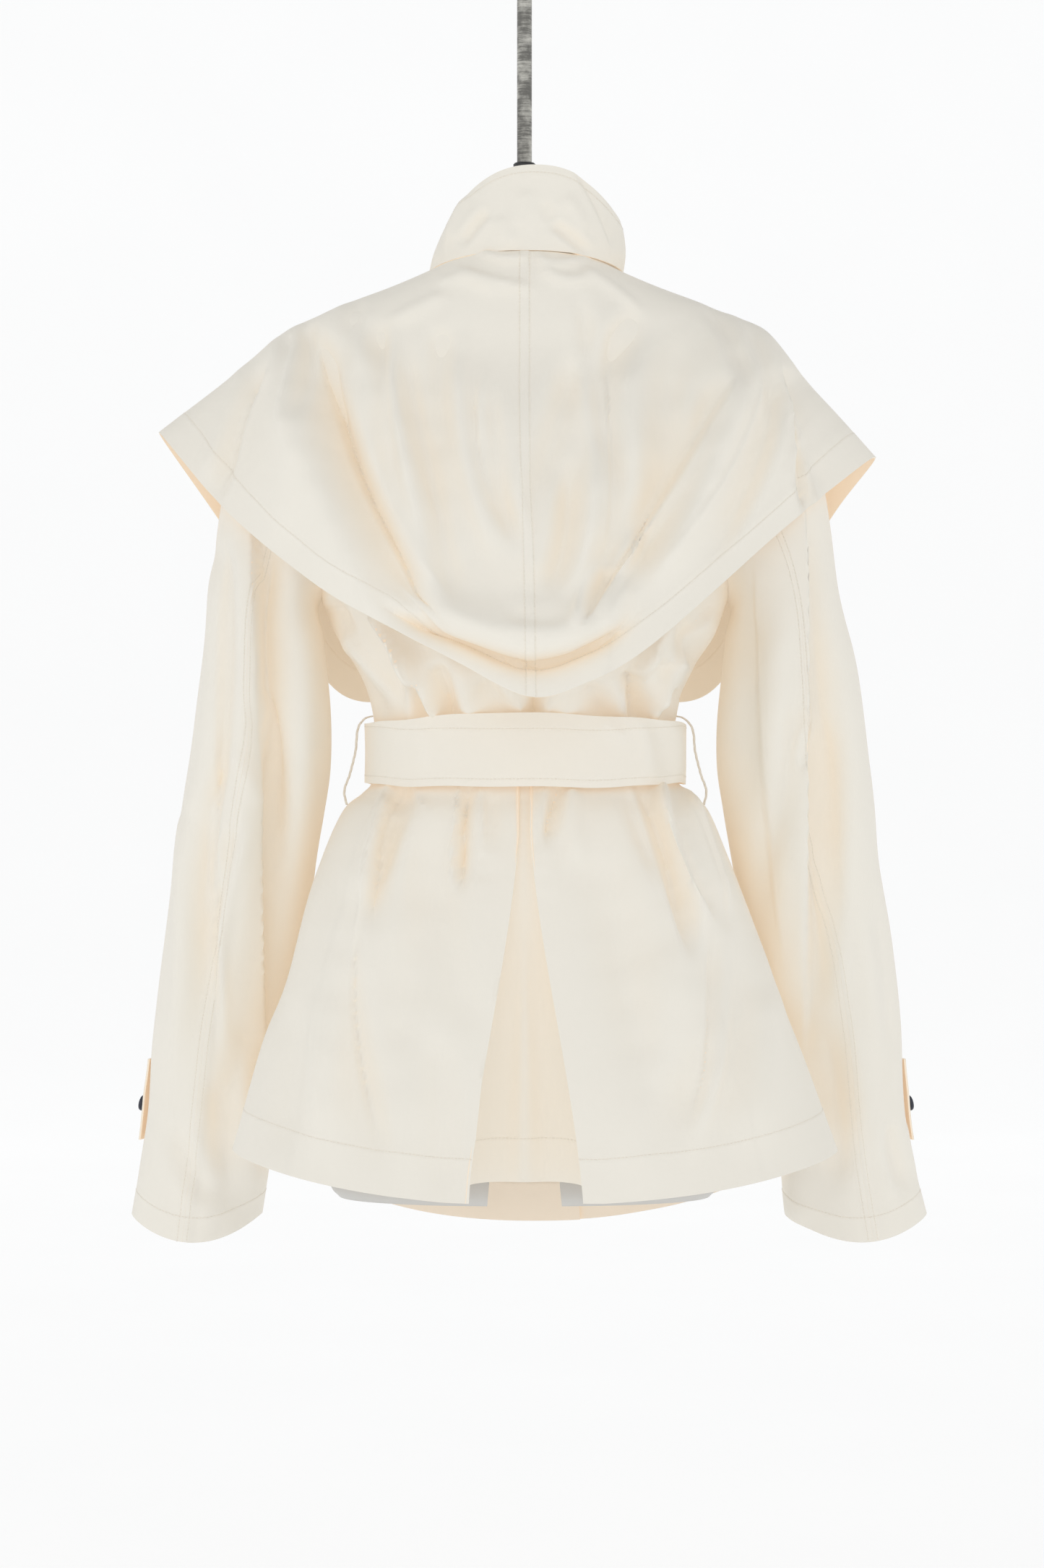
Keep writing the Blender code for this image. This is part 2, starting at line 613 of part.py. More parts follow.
def turned(profile, sides):
    # Rings of a turned shape from (radius, height) pairs
    angles = np.arange(sides) * 2 * math.pi / sides
    return [
        np.stack([radius * np.cos(angles), radius * np.sin(angles), np.full(sides, height)], axis=-1)
        for radius, height in profile
    ]


def asCutter(shape):
    shape.hide_render = True
    shape.display_type = "WIRE"
    return shape


def cutWith(shape, cutter):
    cut = shape.modifiers.new("cut_" + cutter.name, "BOOLEAN")
    cut.operation = "DIFFERENCE"
    cut.solver = "EXACT"
    cut.object = cutter


def mirrorX(surface):
    # The same surface on the wearer's right, still counterclockwise from above
    def mirrored(u, v):
        return surface(math.pi - u, v) * np.array([-1.0, 1.0, 1.0])

    return mirrored


# Sub-parts

def makeRodAndCap():
    base = formTop + seamGap
    addTube("rod", turned(((rodRadius, base), (rodRadius, 0.0)), 16), steel, 0.4, 0.9)
    hole = rodRadius + seamGap
    profile = (
        (hole, base), (capRadius, base), (capRadius, base + 0.6 * capThickness),
        (0.8 * capRadius, base + capThickness), (ferruleRadius, base + 1.3 * capThickness),
        (ferruleRadius, ferruleTop), (hole, ferruleTop),
    )
    rings = np.array(turned(profile, 20))
    count, sides = rings.shape[:2]
    faces = ringFaces(range(count), count, sides)
    addObject("neck_cap", rings.reshape(-1, 3).tolist(), faces, nearBlack, 0.5)


def makeForm():
    angles = np.radians(np.arange(24) * 15.0)
    levels = np.sort(np.append(np.arange(len(formRings), dtype=float), (3.5, 4.5, 5.5)))
    gridAngle, gridLevel = np.meshgrid(angles, levels)
    rings = bodyPoint(gridAngle, gridLevel)
    form = addTube("form", rings, formWhite, 0.6)
    # The gap between both cut-off ends: full width at the bottom, narrow and round at the top
    half = legGap / 2
    right = (
        (half, formBottom - legGapPast), (0.9 * half, formBottom + legGapPast),
        (0.35 * half, legGapTop),
    )
    outline = [*right, *[(-x, z) for x, z in reversed(right)]]
    loops = [[(x, y, z) for x, z in outline] for y in (-legGapReach, legGapReach)]
    cutter = asCutter(addTube("leg_gap_cutter", loops, formWhite))
    cutWith(form, cutter)


def frontColumns(steps):
    # Column angles of the left and the right front, which overlap by one step
    left = np.radians(np.linspace(-90.0, 0.0, steps + 1))
    left = np.insert(left, 0, 2 * left[0] - left[1])
    left[-1] -= seamAngle
    return left, math.pi - left[::-1]


def overFront(surface):
    # The outer front passes over the inner one where they overlap
    def lifted(angle, level):
        normal = surfaceNormal(surface, angle, level)
        return surface(angle, level) + normal * frontLift(angle)[..., None]

    return lifted


def makeBodice():
    surface = withFolds(bodicePoint, bodiceFolds)
    levels = np.array([3, 4, 5, 5.5, 6, 7, 8.5, 10, 11, 12, 12.6, 13.0, 13.3, 13.65, 14])
    back = np.radians(np.linspace(0.0, 180.0, 25))
    back[0] += seamAngle
    back[-1] -= seamAngle
    left, right = frontColumns(12)
    return [
        addWall("bodice_back", surface, back, levels),
        addWall("bodice_front_left", surface, left, levels),
        addWall("bodice_front_right", overFront(surface), right, levels),
    ]


def makeSkirt():
    # The pleat's columns run across its zone, with one on each side just outside it
    zone = math.degrees(pleatZone)
    side = np.append(np.linspace(0.0, 88.8 - zone, 13), 89.99 - zone)
    pleat = 90.0 + zone * np.array([-0.999, -0.8, -0.55, -0.35, 0.0, 0.35, 0.55, 0.8, 0.999])
    columns = np.radians(np.concatenate([side, pleat, 180.0 - side[::-1]]))
    columns[0] += seamAngle
    columns[-1] -= seamAngle
    levels = np.array([0, 1, 1.6, 2.2, 2.8, 3.4, 4, 4.6, 5.2, 5.9, 6.5, 7])
    addWall("skirt_back", skirtBackPoint, columns, levels)
    left, right = frontColumns(13)
    addWall("skirt_front_left", withFolds(skirtPoint, skirtFrontFolds), left, levels)
    mirroredFolds = withFolds(skirtPoint, skirtFrontFolds, mirrored=True)
    addWall("skirt_front_right", overFront(mirroredFolds), right, levels)


def makeSleeves(bodice):
    # Each sleeve is an outer and an under piece, sewn along its back and its front
    around = np.arange(18) * math.pi / 9
    seam = math.degrees(sleeveSeamAt)
    gap = math.degrees(sleeveSeamAngle)
    outer = np.radians(np.append(np.insert(np.arange(-60.0, 61.0, 20.0), 0, gap - seam), seam - gap))
    under = np.radians(np.append(np.insert(np.arange(100.0, 261.0, 20.0), 0, seam + gap),
                                 360.0 - seam - gap))
    steps = np.array([0.0, 0.12, 0.26, 0.42, 0.6, 0.8, 1.0, 1.5, 2, 2.7, 3.5, 4.4, 5.5, 6.6, 7.8, 9])
    for side, extraScale in (("left", 0.0), ("right", 1.0)):
        surface = sleevePoint(extraScale, -seamGap)
        shape = withFolds(surface, sleeveFolds, calmTo=1.0, sideCalm=None)
        for piece, columns in (("outer", outer), ("under", under)):
            if side == "right":
                columns = math.pi - columns[::-1]
            wall = mirrorX(shape) if side == "right" else shape
            addWall("sleeve_" + side + "_" + piece, wall, columns, steps)
        # The armhole is cut by the sleeve's own upper part, grown by the seam gap
        gridAround, gridSteps = np.meshgrid(around, steps[:10])
        rings = surface(gridAround, gridSteps)
        rings[1:] += surfaceNormal(surface, gridAround, gridSteps)[1:] * seamGap
        rings[0] += (rings[1] - rings[1].mean(axis=0)) * armholeGrowth
        deep = armholePoint(around, -armholeCutDepth)[None]
        rings = np.concatenate([deep, rings])
        if side == "right":
            rings = rings * np.array([-1.0, 1.0, 1.0])
        cutter = asCutter(addTube("armhole_cutter_" + side, rings, cloth))
        for piece in bodice:
            if side in piece.name or piece.name == "bodice_back":
                cutWith(piece, cutter)


def makeCollar():
    angles = np.linspace(collarOpening, 2 * math.pi - collarOpening, 37) - math.pi / 2
    addWall("collar", collarPoint, angles, np.linspace(3.0, 0.0, 5))


def makeCape():
    v = np.array([0.0, 0.04, 0.08, 0.125, 0.17, 0.22, 0.27, 0.34, 0.41, 0.48, 0.55, 0.62, 0.68,
                  0.74, 0.79, 0.83, 0.86, 0.89, 0.915, 0.94, 0.965, 1.0])
    columns = np.radians(np.linspace(0.0, 180.0, 33))
    columns[0] += seamAngle
    columns[-1] -= seamAngle
    addWall("cape_back", withFolds(capePoint, capeFolds, calmTo=capeSeated), columns, v)
    v = np.array([0.0, 0.04, 0.08, 0.125, 0.17, 0.22, 0.27, 0.34, 0.44, 0.55, 0.66, 0.77, 0.88, 1.0])
    left = np.radians(np.linspace(-90.0, 0.0, 13))
    left[0] += capeFrontGap
    left[-1] -= seamAngle
    folds = withFolds(capePoint, capeFrontFolds, calmTo=capeSeated)
    addWall("cape_front_left", folds, left, v)
    folds = withFolds(capePoint, capeFrontFolds, mirrored=True, calmTo=capeSeated)
    addWall("cape_front_right", folds, math.pi - left[::-1], v)


def makeBelt():
    def wound(angle, level):
        lift = (beltThickness + seamGap) * smoothStep(*beltClimb, np.degrees(angle))
        return beltPoint(angle, level) + surfaceNormal(beltPoint, angle, level) * lift[..., None]

    angles = np.radians(np.linspace(*beltEnds, 45))
    addWall("belt", wound, angles, np.linspace(0.0, 2.0, 4), thickness=beltThickness)


def makeTube(name, points, radius, sides, colour):
    points = np.asarray(points)
    ahead = np.gradient(points, axis=0)
    ahead = ahead / np.linalg.norm(ahead, axis=-1, keepdims=True)
    reference = np.array([0.0, 1.0, 0.0])
    first = np.cross(ahead, reference)
    first = first / np.linalg.norm(first, axis=-1, keepdims=True)
    second = np.cross(ahead, first)
    turn = np.arange(sides) * 2 * math.pi / sides
    rings = [
        place + radius * (np.outer(np.cos(turn), a) + np.outer(np.sin(turn), b))
        for place, a, b in zip(points, first, second)
    ]
    return addTube(name, rings, colour)


def makeBeltLoops():
    # Thread loops from the bodice's side seam over the belt to the skirt
    table = np.array(loopPoints)
    shares = np.array([0.0, 0.06, 0.15, 0.28, 0.41, 0.54, 0.66, 0.78, 0.89, 1.0])
    places = smoothRows(table[:, 0], table[:, 1:], shares) * mm
    left = np.stack([places[:, 0], np.zeros(len(places)), places[:, 1]], axis=-1)
    right = left * np.array([-1.0, 1.0, 1.0])
    right[:, 0] += rightLoopShift * smoothStep(0.0, 0.3, shares)
    makeTube("belt_loop_left", left, loopRadius, 6, cloth)
    makeTube("belt_loop_right", right, loopRadius, 6, cloth)


def makeTabs():
    # Straps on the outer side of the sleeves, each with a button
    for side, extraScale, sign in (("left", 0.0, 1.0), ("right", 1.0, -1.0)):
        surface = sleevePoint(extraScale, 0.0)
        drops = -np.array(sleeveRings)[:, 3] * mm

        def tabSurface(across, down):
            # The sleeve's own surface at that height, moved out; the tab stands off more below
            level = np.interp(down - tabTop, drops, np.arange(float(len(drops))))
            spot = surface(sign * across / tabSleeveRadius - tabTurn, level + 1.0)
            away = 0.3 + 0.7 * smoothStep(0.0, 0.5 * tabLength, down)
            spot[..., 0] += tabThickness + tabStandOff * away
            return spot * np.array([sign, 1.0, 1.0])

        half = tabWidth / 2
        widths = np.linspace(-half, half, 5)
        lengths = np.linspace(0.0, tabLength, 7)
        addWall("sleeve_tab_" + side, tabSurface, widths, lengths, thickness=tabThickness)
        # The button lies flat on the tab, so its axis is the tab's own normal there
        spot, below, ahead, behind = tabSurface(
            np.array([0.0, 0.0, buttonRadius, -buttonRadius]),
            np.array([buttonDrop, buttonDrop + buttonRadius, buttonDrop, buttonDrop]),
        )
        down = (below - spot) / np.linalg.norm(below - spot)
        forward = ahead - behind - down * (ahead - behind).dot(down)
        forward = forward / np.linalg.norm(forward)
        out = np.cross(down, forward)
        turn = np.arange(20) * math.pi / 10
        profile = ((0.82, 0.0), (1.0, 0.3), (1.0, 0.75), (0.86, 1.0))
        rings = [
            spot + out * (buttonGap + buttonThickness * rise)
            + buttonRadius * scale * (np.outer(np.cos(turn), forward) + np.outer(np.sin(turn), down))
            for scale, rise in profile
        ]
        addTube("button_" + side, rings, nearBlack, 0.35)


makeRodAndCap()
makeForm()
bodice = makeBodice()
makeSkirt()
makeSleeves(bodice)
makeCollar()
makeCape()
makeBelt()
makeBeltLoops()
makeTabs()
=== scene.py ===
import math

import bpy
import numpy as np
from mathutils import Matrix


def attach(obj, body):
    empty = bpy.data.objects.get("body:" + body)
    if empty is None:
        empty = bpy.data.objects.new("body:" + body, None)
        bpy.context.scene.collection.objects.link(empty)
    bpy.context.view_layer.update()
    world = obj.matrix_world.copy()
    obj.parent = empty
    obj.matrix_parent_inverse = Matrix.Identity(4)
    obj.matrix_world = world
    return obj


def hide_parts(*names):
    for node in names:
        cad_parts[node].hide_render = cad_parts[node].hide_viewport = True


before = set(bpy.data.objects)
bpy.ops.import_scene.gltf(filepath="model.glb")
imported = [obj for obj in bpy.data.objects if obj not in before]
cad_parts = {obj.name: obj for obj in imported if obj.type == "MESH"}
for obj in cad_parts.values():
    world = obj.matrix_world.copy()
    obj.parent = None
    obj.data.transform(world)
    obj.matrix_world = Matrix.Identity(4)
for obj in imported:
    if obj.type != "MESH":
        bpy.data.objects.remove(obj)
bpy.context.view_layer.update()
scene = bpy.context.scene

mm = 0.001

# Cloth and seams
wallThickness = 1.6 * mm
seamGap = 0.3 * mm
seatGap = 0.95 * mm
bodyPower = 2.3
sleevePower = 2.0

# Rod, neck cap and form
rodRadius = 6.0 * mm
capRadius = 43.0 * mm
capThickness = 6.0 * mm
ferruleRadius = 9.0 * mm
ferruleTop = -157.0 * mm
formTop = -186.0 * mm
formBottom = -993.0 * mm
legGap = 62.0 * mm
legGapTop = -880.0 * mm
legGapPast = 20.0 * mm
legGapReach = 200.0 * mm

# Centre-back pleat of the skirt: closed at its top, open at the hem
pleatTop = -700.0 * mm
pleatRun = 285.0 * mm
pleatHalfAtTop = 4.5 * mm
pleatHalfOpening = 45.0 * mm
pleatDepthAtTop = 3.0 * mm
pleatDepth = 48.0 * mm
pleatRise = 0.25
pleatPush = 120.0 * mm
pleatZone = math.radians(9.0)

# Belt
beltThickness = 2.2 * mm

# Tabs and buttons on the sleeves
tabWidth = 26.0 * mm
tabLength = 68.0 * mm
tabTop = -890.0 * mm
tabThickness = 2.2 * mm
tabStandOff = 2.4 * mm
tabSleeveRadius = 48.0 * mm
tabTurn = math.radians(14.0)
buttonRadius = 6.6 * mm
buttonThickness = 3.2 * mm
buttonDrop = 38.0 * mm
buttonGap = 0.8 * mm

# Armhole on the body's surface, in body levels and degrees
armholeMiddle = 9.4
armholeHalf = 2.25
armholeBackReach = 36.0
armholeFrontReach = 30.0
armholeCutDepth = 12.0 * mm
armholeGrowth = 0.004

# Where the sleeve leaves the armhole: across, along and up, how its top leans from that,
# and how strongly it pulls
headDirection = (0.75, 0.25, -0.65)
headTopLean = (0.1, 0.12)
headPull = 1.15

# The form: key points of each ring, from the neck down
# Columns: sideX, sideZ, backY, backZ, frontY, frontZ
formRings = (
    (45.0, -186.0, 46.0, -186.0, -46.0, -186.0),
    (48.5, -214.0, 50.0, -206.0, -54.0, -222.0),
    (58.0, -240.0, 59.0, -225.0, -66.0, -256.0),
    (74.0, -252.5, 68.5, -241.0, -80.0, -290.0),
    (106.0, -264.5, 79.0, -263.0, -90.0, -312.0),
    (138.0, -275.5, 87.0, -291.0, -98.0, -342.0),
    (157.0, -283.0, 93.0, -320.0, -106.0, -370.0),
    (168.5, -302.0, 96.5, -350.0, -112.0, -400.0),
    (171.5, -336.0, 98.0, -385.0, -116.0, -430.0),
    (166.0, -380.0, 97.0, -425.0, -118.0, -460.0),
    (157.0, -430.0, 93.0, -465.0, -112.0, -495.0),
    (148.0, -475.0, 88.0, -505.0, -102.0, -530.0),
    (134.0, -530.0, 83.0, -550.0, -92.0, -570.0),
    (120.0, -580.0, 78.0, -590.0, -84.0, -600.0),
    (113.0, -632.0, 76.0, -632.0, -80.0, -632.0),
    (123.0, -680.0, 82.0, -680.0, -86.0, -680.0),
    (144.0, -740.0, 93.0, -740.0, -94.0, -740.0),
    (160.0, -800.0, 101.0, -800.0, -100.0, -800.0),
    (166.0, -850.0, 103.0, -850.0, -101.0, -850.0),
    (165.0, -910.0, 98.0, -910.0, -98.0, -910.0),
    (160.0, -960.0, 92.0, -960.0, -92.0, -960.0),
    (157.0, -984.0, 89.0, -984.0, -89.0, -984.0),
    (150.0, -993.0, 82.0, -993.0, -82.0, -993.0),
)

# How far the bodice stands off the form
# Columns: level, side, back, front
bodiceEase = (
    (3.0, 0.0, 0.0, 0.0),
    (5.0, 0.0, 0.0, 0.0),
    (6.0, 0.0, 0.0, 0.0),
    (7.0, 0.5, 1.0, 2.0),
    (8.0, 2.5, 4.0, 4.0),
    (9.0, 6.0, 7.0, 6.0),
    (10.0, 14.0, 17.0, 15.0),
    (11.0, 21.0, 27.0, 26.0),
    (12.0, 21.0, 35.0, 34.0),
    (12.7, 11.0, 34.0, 33.0),
    (13.25, 4.5, 14.0, 7.0),
    (13.6, 4.5, 11.0, 6.0),
    (14.0, 7.0, 12.0, 7.0),
)

# Skirt rings from the waist seam to the hem
# Columns: rightX, leftX, sideY, sideZ, backY, backZ, frontY, frontZ
skirtRings = (
    (-122.3, 122.3, 0.0, -632.3, 90.4, -632.3, -89.4, -632.3),
    (-123.2, 122.8, 0.0, -657.0, 91.0, -658.0, -90.2, -657.0),
    (-134.0, 131.5, 1.0, -668.0, 97.0, -671.0, -96.0, -670.0),
    (-150.0, 149.0, 3.0, -684.0, 108.0, -690.0, -104.0, -690.0),
    (-171.0, 169.5, 7.0, -734.0, 123.0, -742.0, -114.0, -748.0),
    (-201.0, 192.0, 12.0, -817.0, 143.0, -832.0, -129.0, -845.0),
    (-220.0, 210.0, 15.0, -868.0, 153.0, -887.0, -139.0, -905.0),
    (-252.0, 234.0, 20.0, -952.0, 168.0, -982.0, -155.0, -1032.0),
)

# Left sleeve rings below the armpit, with the extra width of the right sleeve
# Columns: innerX, outerX, sideY, sideZ, backY, backZ, frontY, frontZ, rightExtra
sleeveRings = (
    (163.0, 257.0, 0.0, -540.0, 55.0, -540.0, -57.0, -540.0, 4.0),
    (157.5, 266.0, -8.0, -600.0, 45.0, -602.0, -62.0, -600.0, 8.0),
    (157.5, 273.0, -18.0, -645.0, 34.0, -648.0, -70.0, -645.0, 8.0),
    (163.0, 279.0, -26.0, -682.0, 25.0, -685.0, -77.0, -682.0, 7.0),
    (171.0, 286.0, -37.0, -727.0, 14.0, -730.0, -87.0, -727.0, 5.0),
    (181.0, 297.0, -56.0, -788.0, -6.0, -790.0, -106.0, -788.0, 6.0),
    (197.0, 308.0, -80.0, -861.0, -32.0, -864.0, -128.0, -861.0, 5.0),
    (211.0, 318.0, -108.0, -948.0, -62.0, -954.0, -153.0, -950.0, 3.0),
    (221.0, 331.0, -128.0, -1022.0, -84.0, -1042.0, -172.0, -1034.0, 9.0),
)

# Collar, from its seam up, with the skirt's columns
collarRings = (
    (-80.0, 77.5, 0.0, -247.4, 73.6, -237.9, -86.6, -285.2),
    (-82.0, 73.5, 0.0, -231.0, 70.0, -212.0, -82.0, -262.0),
    (-81.0, 67.5, 0.0, -216.0, 67.5, -189.0, -77.0, -243.0),
    (-78.0, 61.0, 0.0, -205.5, 66.0, -169.0, -76.0, -226.0),
)

# Belt, from its top edge down, with the skirt's columns
beltRings = (
    (-131.0, 129.5, 0.0, -612.0, 98.5, -604.5, -101.0, -608.0),
    (-130.5, 129.0, 0.0, -635.0, 97.0, -633.0, -98.5, -633.0),
    (-130.5, 129.5, 0.0, -659.5, 97.0, -662.5, -98.5, -660.0),
)
# Degrees around the waist: both ends of the belt and where its end climbs over
beltEnds = (-100.0, 284.0)
beltClimb = (240.0, 256.0)

# Left thread loop over the belt
# Columns: share of the length, x, z
loopPoints = (
    (0.0, 122.9, -605.0),
    (0.06, 127.8, -606.2),
    (0.15, 133.0, -611.0),
    (0.41, 137.0, -634.0),
    (0.66, 141.5, -652.0),
    (0.89, 146.0, -668.0),
    (1.0, 144.0, -676.8),
)
rightLoopShift = -1.4 * mm

# Cape meridians past the shoulder: neck angle in degrees, then three points
# Columns: angle, middleX, middleY, middleZ, lowX, lowY, lowZ, hemX, hemY, hemZ
capeBackMeridians = (
    (0.0, 194.0, 0.0, -294.0, 243.0, -4.0, -333.0, 297.0, -8.0, -374.5),
    (16.0, 186.0, 44.0, -322.0, 214.0, 58.0, -385.0, 236.0, 60.0, -444.0),
    (32.0, 150.0, 86.0, -345.0, 166.0, 106.0, -425.0, 167.0, 115.0, -501.0),
    (50.0, 104.0, 108.0, -362.0, 112.0, 136.0, -455.0, 109.0, 145.0, -536.0),
    (72.0, 48.0, 124.0, -375.0, 50.0, 154.0, -478.0, 48.0, 167.0, -569.0),
    (90.0, 0.0, 128.0, -380.0, -3.0, 160.0, -485.0, -5.0, 178.0, -594.5),
    (108.0, -48.0, 124.0, -376.0, -52.0, 156.0, -482.0, -49.0, 171.0, -582.0),
    (130.0, -100.0, 110.0, -364.0, -104.0, 140.0, -462.0, -97.0, 155.0, -553.5),
    (148.0, -148.0, 88.0, -348.0, -158.0, 112.0, -430.0, -151.0, 130.0, -506.6),
    (164.0, -190.0, 50.0, -322.0, -216.0, 70.0, -386.0, -211.0, 80.0, -453.0),
    (180.0, -195.0, 0.0, -293.0, -235.0, -4.0, -340.0, -285.0, -8.0, -394.0),
)
# The left front; the right front is its mirror image
capeFrontMeridians = (
    (-90.0, 0.0, -142.0, -428.0, 0.0, -158.0, -505.0, 0.0, -164.0, -592.0),
    (-70.0, 55.0, -138.0, -421.0, 70.0, -155.0, -500.0, 88.0, -160.0, -588.0),
    (-52.0, 110.0, -129.0, -400.0, 132.0, -144.0, -485.0, 155.0, -148.0, -584.0),
    (-34.0, 162.0, -100.0, -358.0, 184.0, -114.0, -438.0, 205.0, -116.0, -515.0),
    (-16.0, 194.0, -48.0, -316.0, 228.0, -60.0, -376.0, 260.0, -58.0, -431.0),
)

# The pouch over the cape's hem: where along the meridian it swells and tucks in
pouchSwell = 20.0 * mm
pouchTuck = 20.0 * mm
pouchSag = 7.0 * mm
pouchSwellAt = 0.885
pouchSagAt = 0.905
pouchTuckAt = 0.935
pouchLean = -0.02 / 30
pouchSwellWidth = 0.05
pouchSagWidth = 0.025
pouchTuckWidth = 0.024
pouchFrom = 48.0
pouchTo = 128.0
pouchFade = 20.0

# Where the cape's key points lie along a meridian: four seated ones, middle, low and hem
capePlaces = np.array([0.0, 0.08, 0.17, 0.27, 0.48, 0.74, 1.0])
capeSeated = 0.27

# Folds, as curves seen from the back with a half width and a height; minus is a trough
# Columns: startX, startZ, midX, midZ, endX, endZ, width, height
capeFolds = (
    (168.0, -290.0, 140.0, -402.0, 72.0, -532.0, 18.0, -12.0),
    (192.0, -310.0, 168.0, -425.0, 108.0, -520.0, 16.0, 7.0),
    (134.0, -285.0, 104.0, -400.0, 46.0, -520.0, 18.0, 9.0),
    (90.0, -290.0, 72.0, -420.0, 28.0, -520.0, 16.0, -7.0),
    (48.0, -290.0, 42.0, -400.0, 14.0, -500.0, 16.0, 5.0),
    (-40.0, -290.0, -42.0, -400.0, -24.0, -520.0, 16.0, -6.0),
    (-82.0, -300.0, -76.0, -420.0, -38.0, -535.0, 17.0, 8.0),
    (-120.0, -300.0, -110.0, -440.0, -60.0, -540.0, 16.0, -10.0),
    (-160.0, -300.0, -150.0, -410.0, -100.0, -520.0, 17.0, 8.0),
    (-206.0, -330.0, -216.0, -380.0, -222.0, -440.0, 11.0, -5.0),
)
capeFrontFolds = (
    (150.0, -300.0, 140.0, -420.0, 118.0, -560.0, 16.0, -8.0),
    (95.0, -320.0, 92.0, -440.0, 84.0, -580.0, 16.0, 7.0),
    (40.0, -420.0, 42.0, -480.0, 46.0, -580.0, 14.0, -5.0),
    (190.0, -320.0, 196.0, -400.0, 190.0, -500.0, 14.0, 6.0),
)
bodiceFolds = (
    (86.0, -520.0, 82.0, -565.0, 78.0, -610.0, 10.0, -5.0),
    (50.0, -510.0, 50.0, -560.0, 50.0, -610.0, 10.0, -5.0),
    (-10.0, -520.0, -10.0, -565.0, -10.0, -610.0, 10.0, -5.0),
    (-46.0, -505.0, -48.0, -560.0, -50.0, -605.0, 11.0, 4.0),
    (-88.0, -515.0, -86.0, -565.0, -84.0, -610.0, 10.0, -5.0),
    (112.0, -470.0, 108.0, -540.0, 98.0, -600.0, 10.0, 4.0),
    (-112.0, -470.0, -110.0, -540.0, -100.0, -600.0, 10.0, 4.0),
)
skirtFolds = (
    (92.0, -668.0, 108.0, -700.0, 120.0, -745.0, 9.0, -6.0),
    (44.0, -668.0, 48.0, -700.0, 52.0, -745.0, 8.0, -5.0),
    (-32.0, -668.0, -34.0, -700.0, -38.0, -760.0, 8.0, 4.0),
    (-88.0, -668.0, -104.0, -720.0, -130.0, -790.0, 9.0, -7.0),
    (-112.0, -668.0, -130.0, -720.0, -150.0, -780.0, 9.0, 6.0),
    (112.0, -690.0, 140.0, -820.0, 165.0, -960.0, 20.0, 10.0),
    (80.0, -700.0, 98.0, -830.0, 112.0, -980.0, 20.0, -10.0),
    (-70.0, -720.0, -92.0, -840.0, -108.0, -980.0, 20.0, -10.0),
    (-105.0, -720.0, -135.0, -840.0, -160.0, -960.0, 20.0, 10.0),
)
skirtFrontFolds = (
    (60.0, -668.0, 72.0, -800.0, 84.0, -1000.0, 16.0, -7.0),
    (95.0, -668.0, 118.0, -800.0, 138.0, -980.0, 16.0, 7.0),
    (47.0, -668.0, 50.0, -720.0, 54.0, -780.0, 8.0, 4.0),
    (120.0, -680.0, 146.0, -760.0, 170.0, -860.0, 12.0, -6.0),
)
sleeveFolds = (
    (216.0, -600.0, 202.0, -680.0, 196.0, -780.0, 13.0, -8.0),
    (240.0, -620.0, 244.0, -700.0, 262.0, -830.0, 12.0, -6.0),
    (226.0, -860.0, 246.0, -930.0, 262.0, -1000.0, 12.0, -5.0),
)

# Degrees: where the sleeves' seams run, half of the collar's opening and of the gap between
# the cape's fronts, half of a side seam, and how far one front passes over the other
sleeveSeamAt = 80.0
collarOpening = 1.2
capeFrontGap = 1.2
sideSeam = 0.02
bodiceOverlap = 7.5
skirtOverlap = 90.0 / 13

# The solids' large folds: stretches of each curve, how its ends fade and how it spreads
foldStretches = 8
foldFadeFrom = 0.12
foldFadePower = 0.6
foldSpread = 0.62
foldScale = 0.9


# Curves and surfaces

def hermite(t, first, firstSlope, last, lastSlope):
    # Smooth stretch from one point to the next, with its slope at both
    start = (1 + 2 * t) * (1 - t) ** 2 * first + t * (1 - t) ** 2 * firstSlope
    end = t * t * (3 - 2 * t) * last + t * t * (t - 1) * lastSlope
    return start + end


def stretchOf(keys, at):
    # The stretch between two keys that a value lies in, how far along it and how long it is
    index = np.clip(np.searchsorted(keys, at, side="right") - 1, 0, len(keys) - 2)
    span = (keys[index + 1] - keys[index])[..., None]
    return index, (at - keys[index])[..., None] / span, span


def smoothRows(keys, rows, at):
    # Smooth curve through rows of values, one row for each key
    keys = np.asarray(keys, float)
    rows = np.asarray(rows, float)
    slopes = np.gradient(rows, keys, axis=0)
    index, t, span = stretchOf(keys, np.asarray(at, float))
    return hermite(t, rows[index], span * slopes[index], rows[index + 1], span * slopes[index + 1])


def smoothStep(low, high, value):
    t = np.clip((value - low) / (high - low), 0.0, 1.0)
    return t * t * (3 - 2 * t)


def plateau(rise, fall, value):
    # 0, then up to 1 over the first range, and back to 0 over the second
    return smoothStep(*rise, value) * (1 - smoothStep(*fall, value))


def bell(value, width):
    return np.exp(-((value / width) ** 2))


def roundPower(value, power):
    return np.sign(value) * np.abs(value) ** (2.0 / power)


def ringPoint(row, angle, power):
    # Point of a ring at an angle: 0 is the high X side, 90 degrees the back
    lowX, highX, sideY, sideZ, backY, backZ, frontY, frontZ = np.moveaxis(row, -1, 0)
    across = np.cos(angle)
    along = np.sin(angle)
    isBack = along >= 0
    reach = np.where(isBack, backY - sideY, sideY - frontY)
    drop = np.where(isBack, backZ - sideZ, frontZ - sideZ)
    x = (lowX + highX) / 2 + (highX - lowX) / 2 * roundPower(across, power)
    y = sideY + reach * roundPower(along, power)
    z = sideZ + drop * along ** 2
    return np.stack([x, y, z], axis=-1)


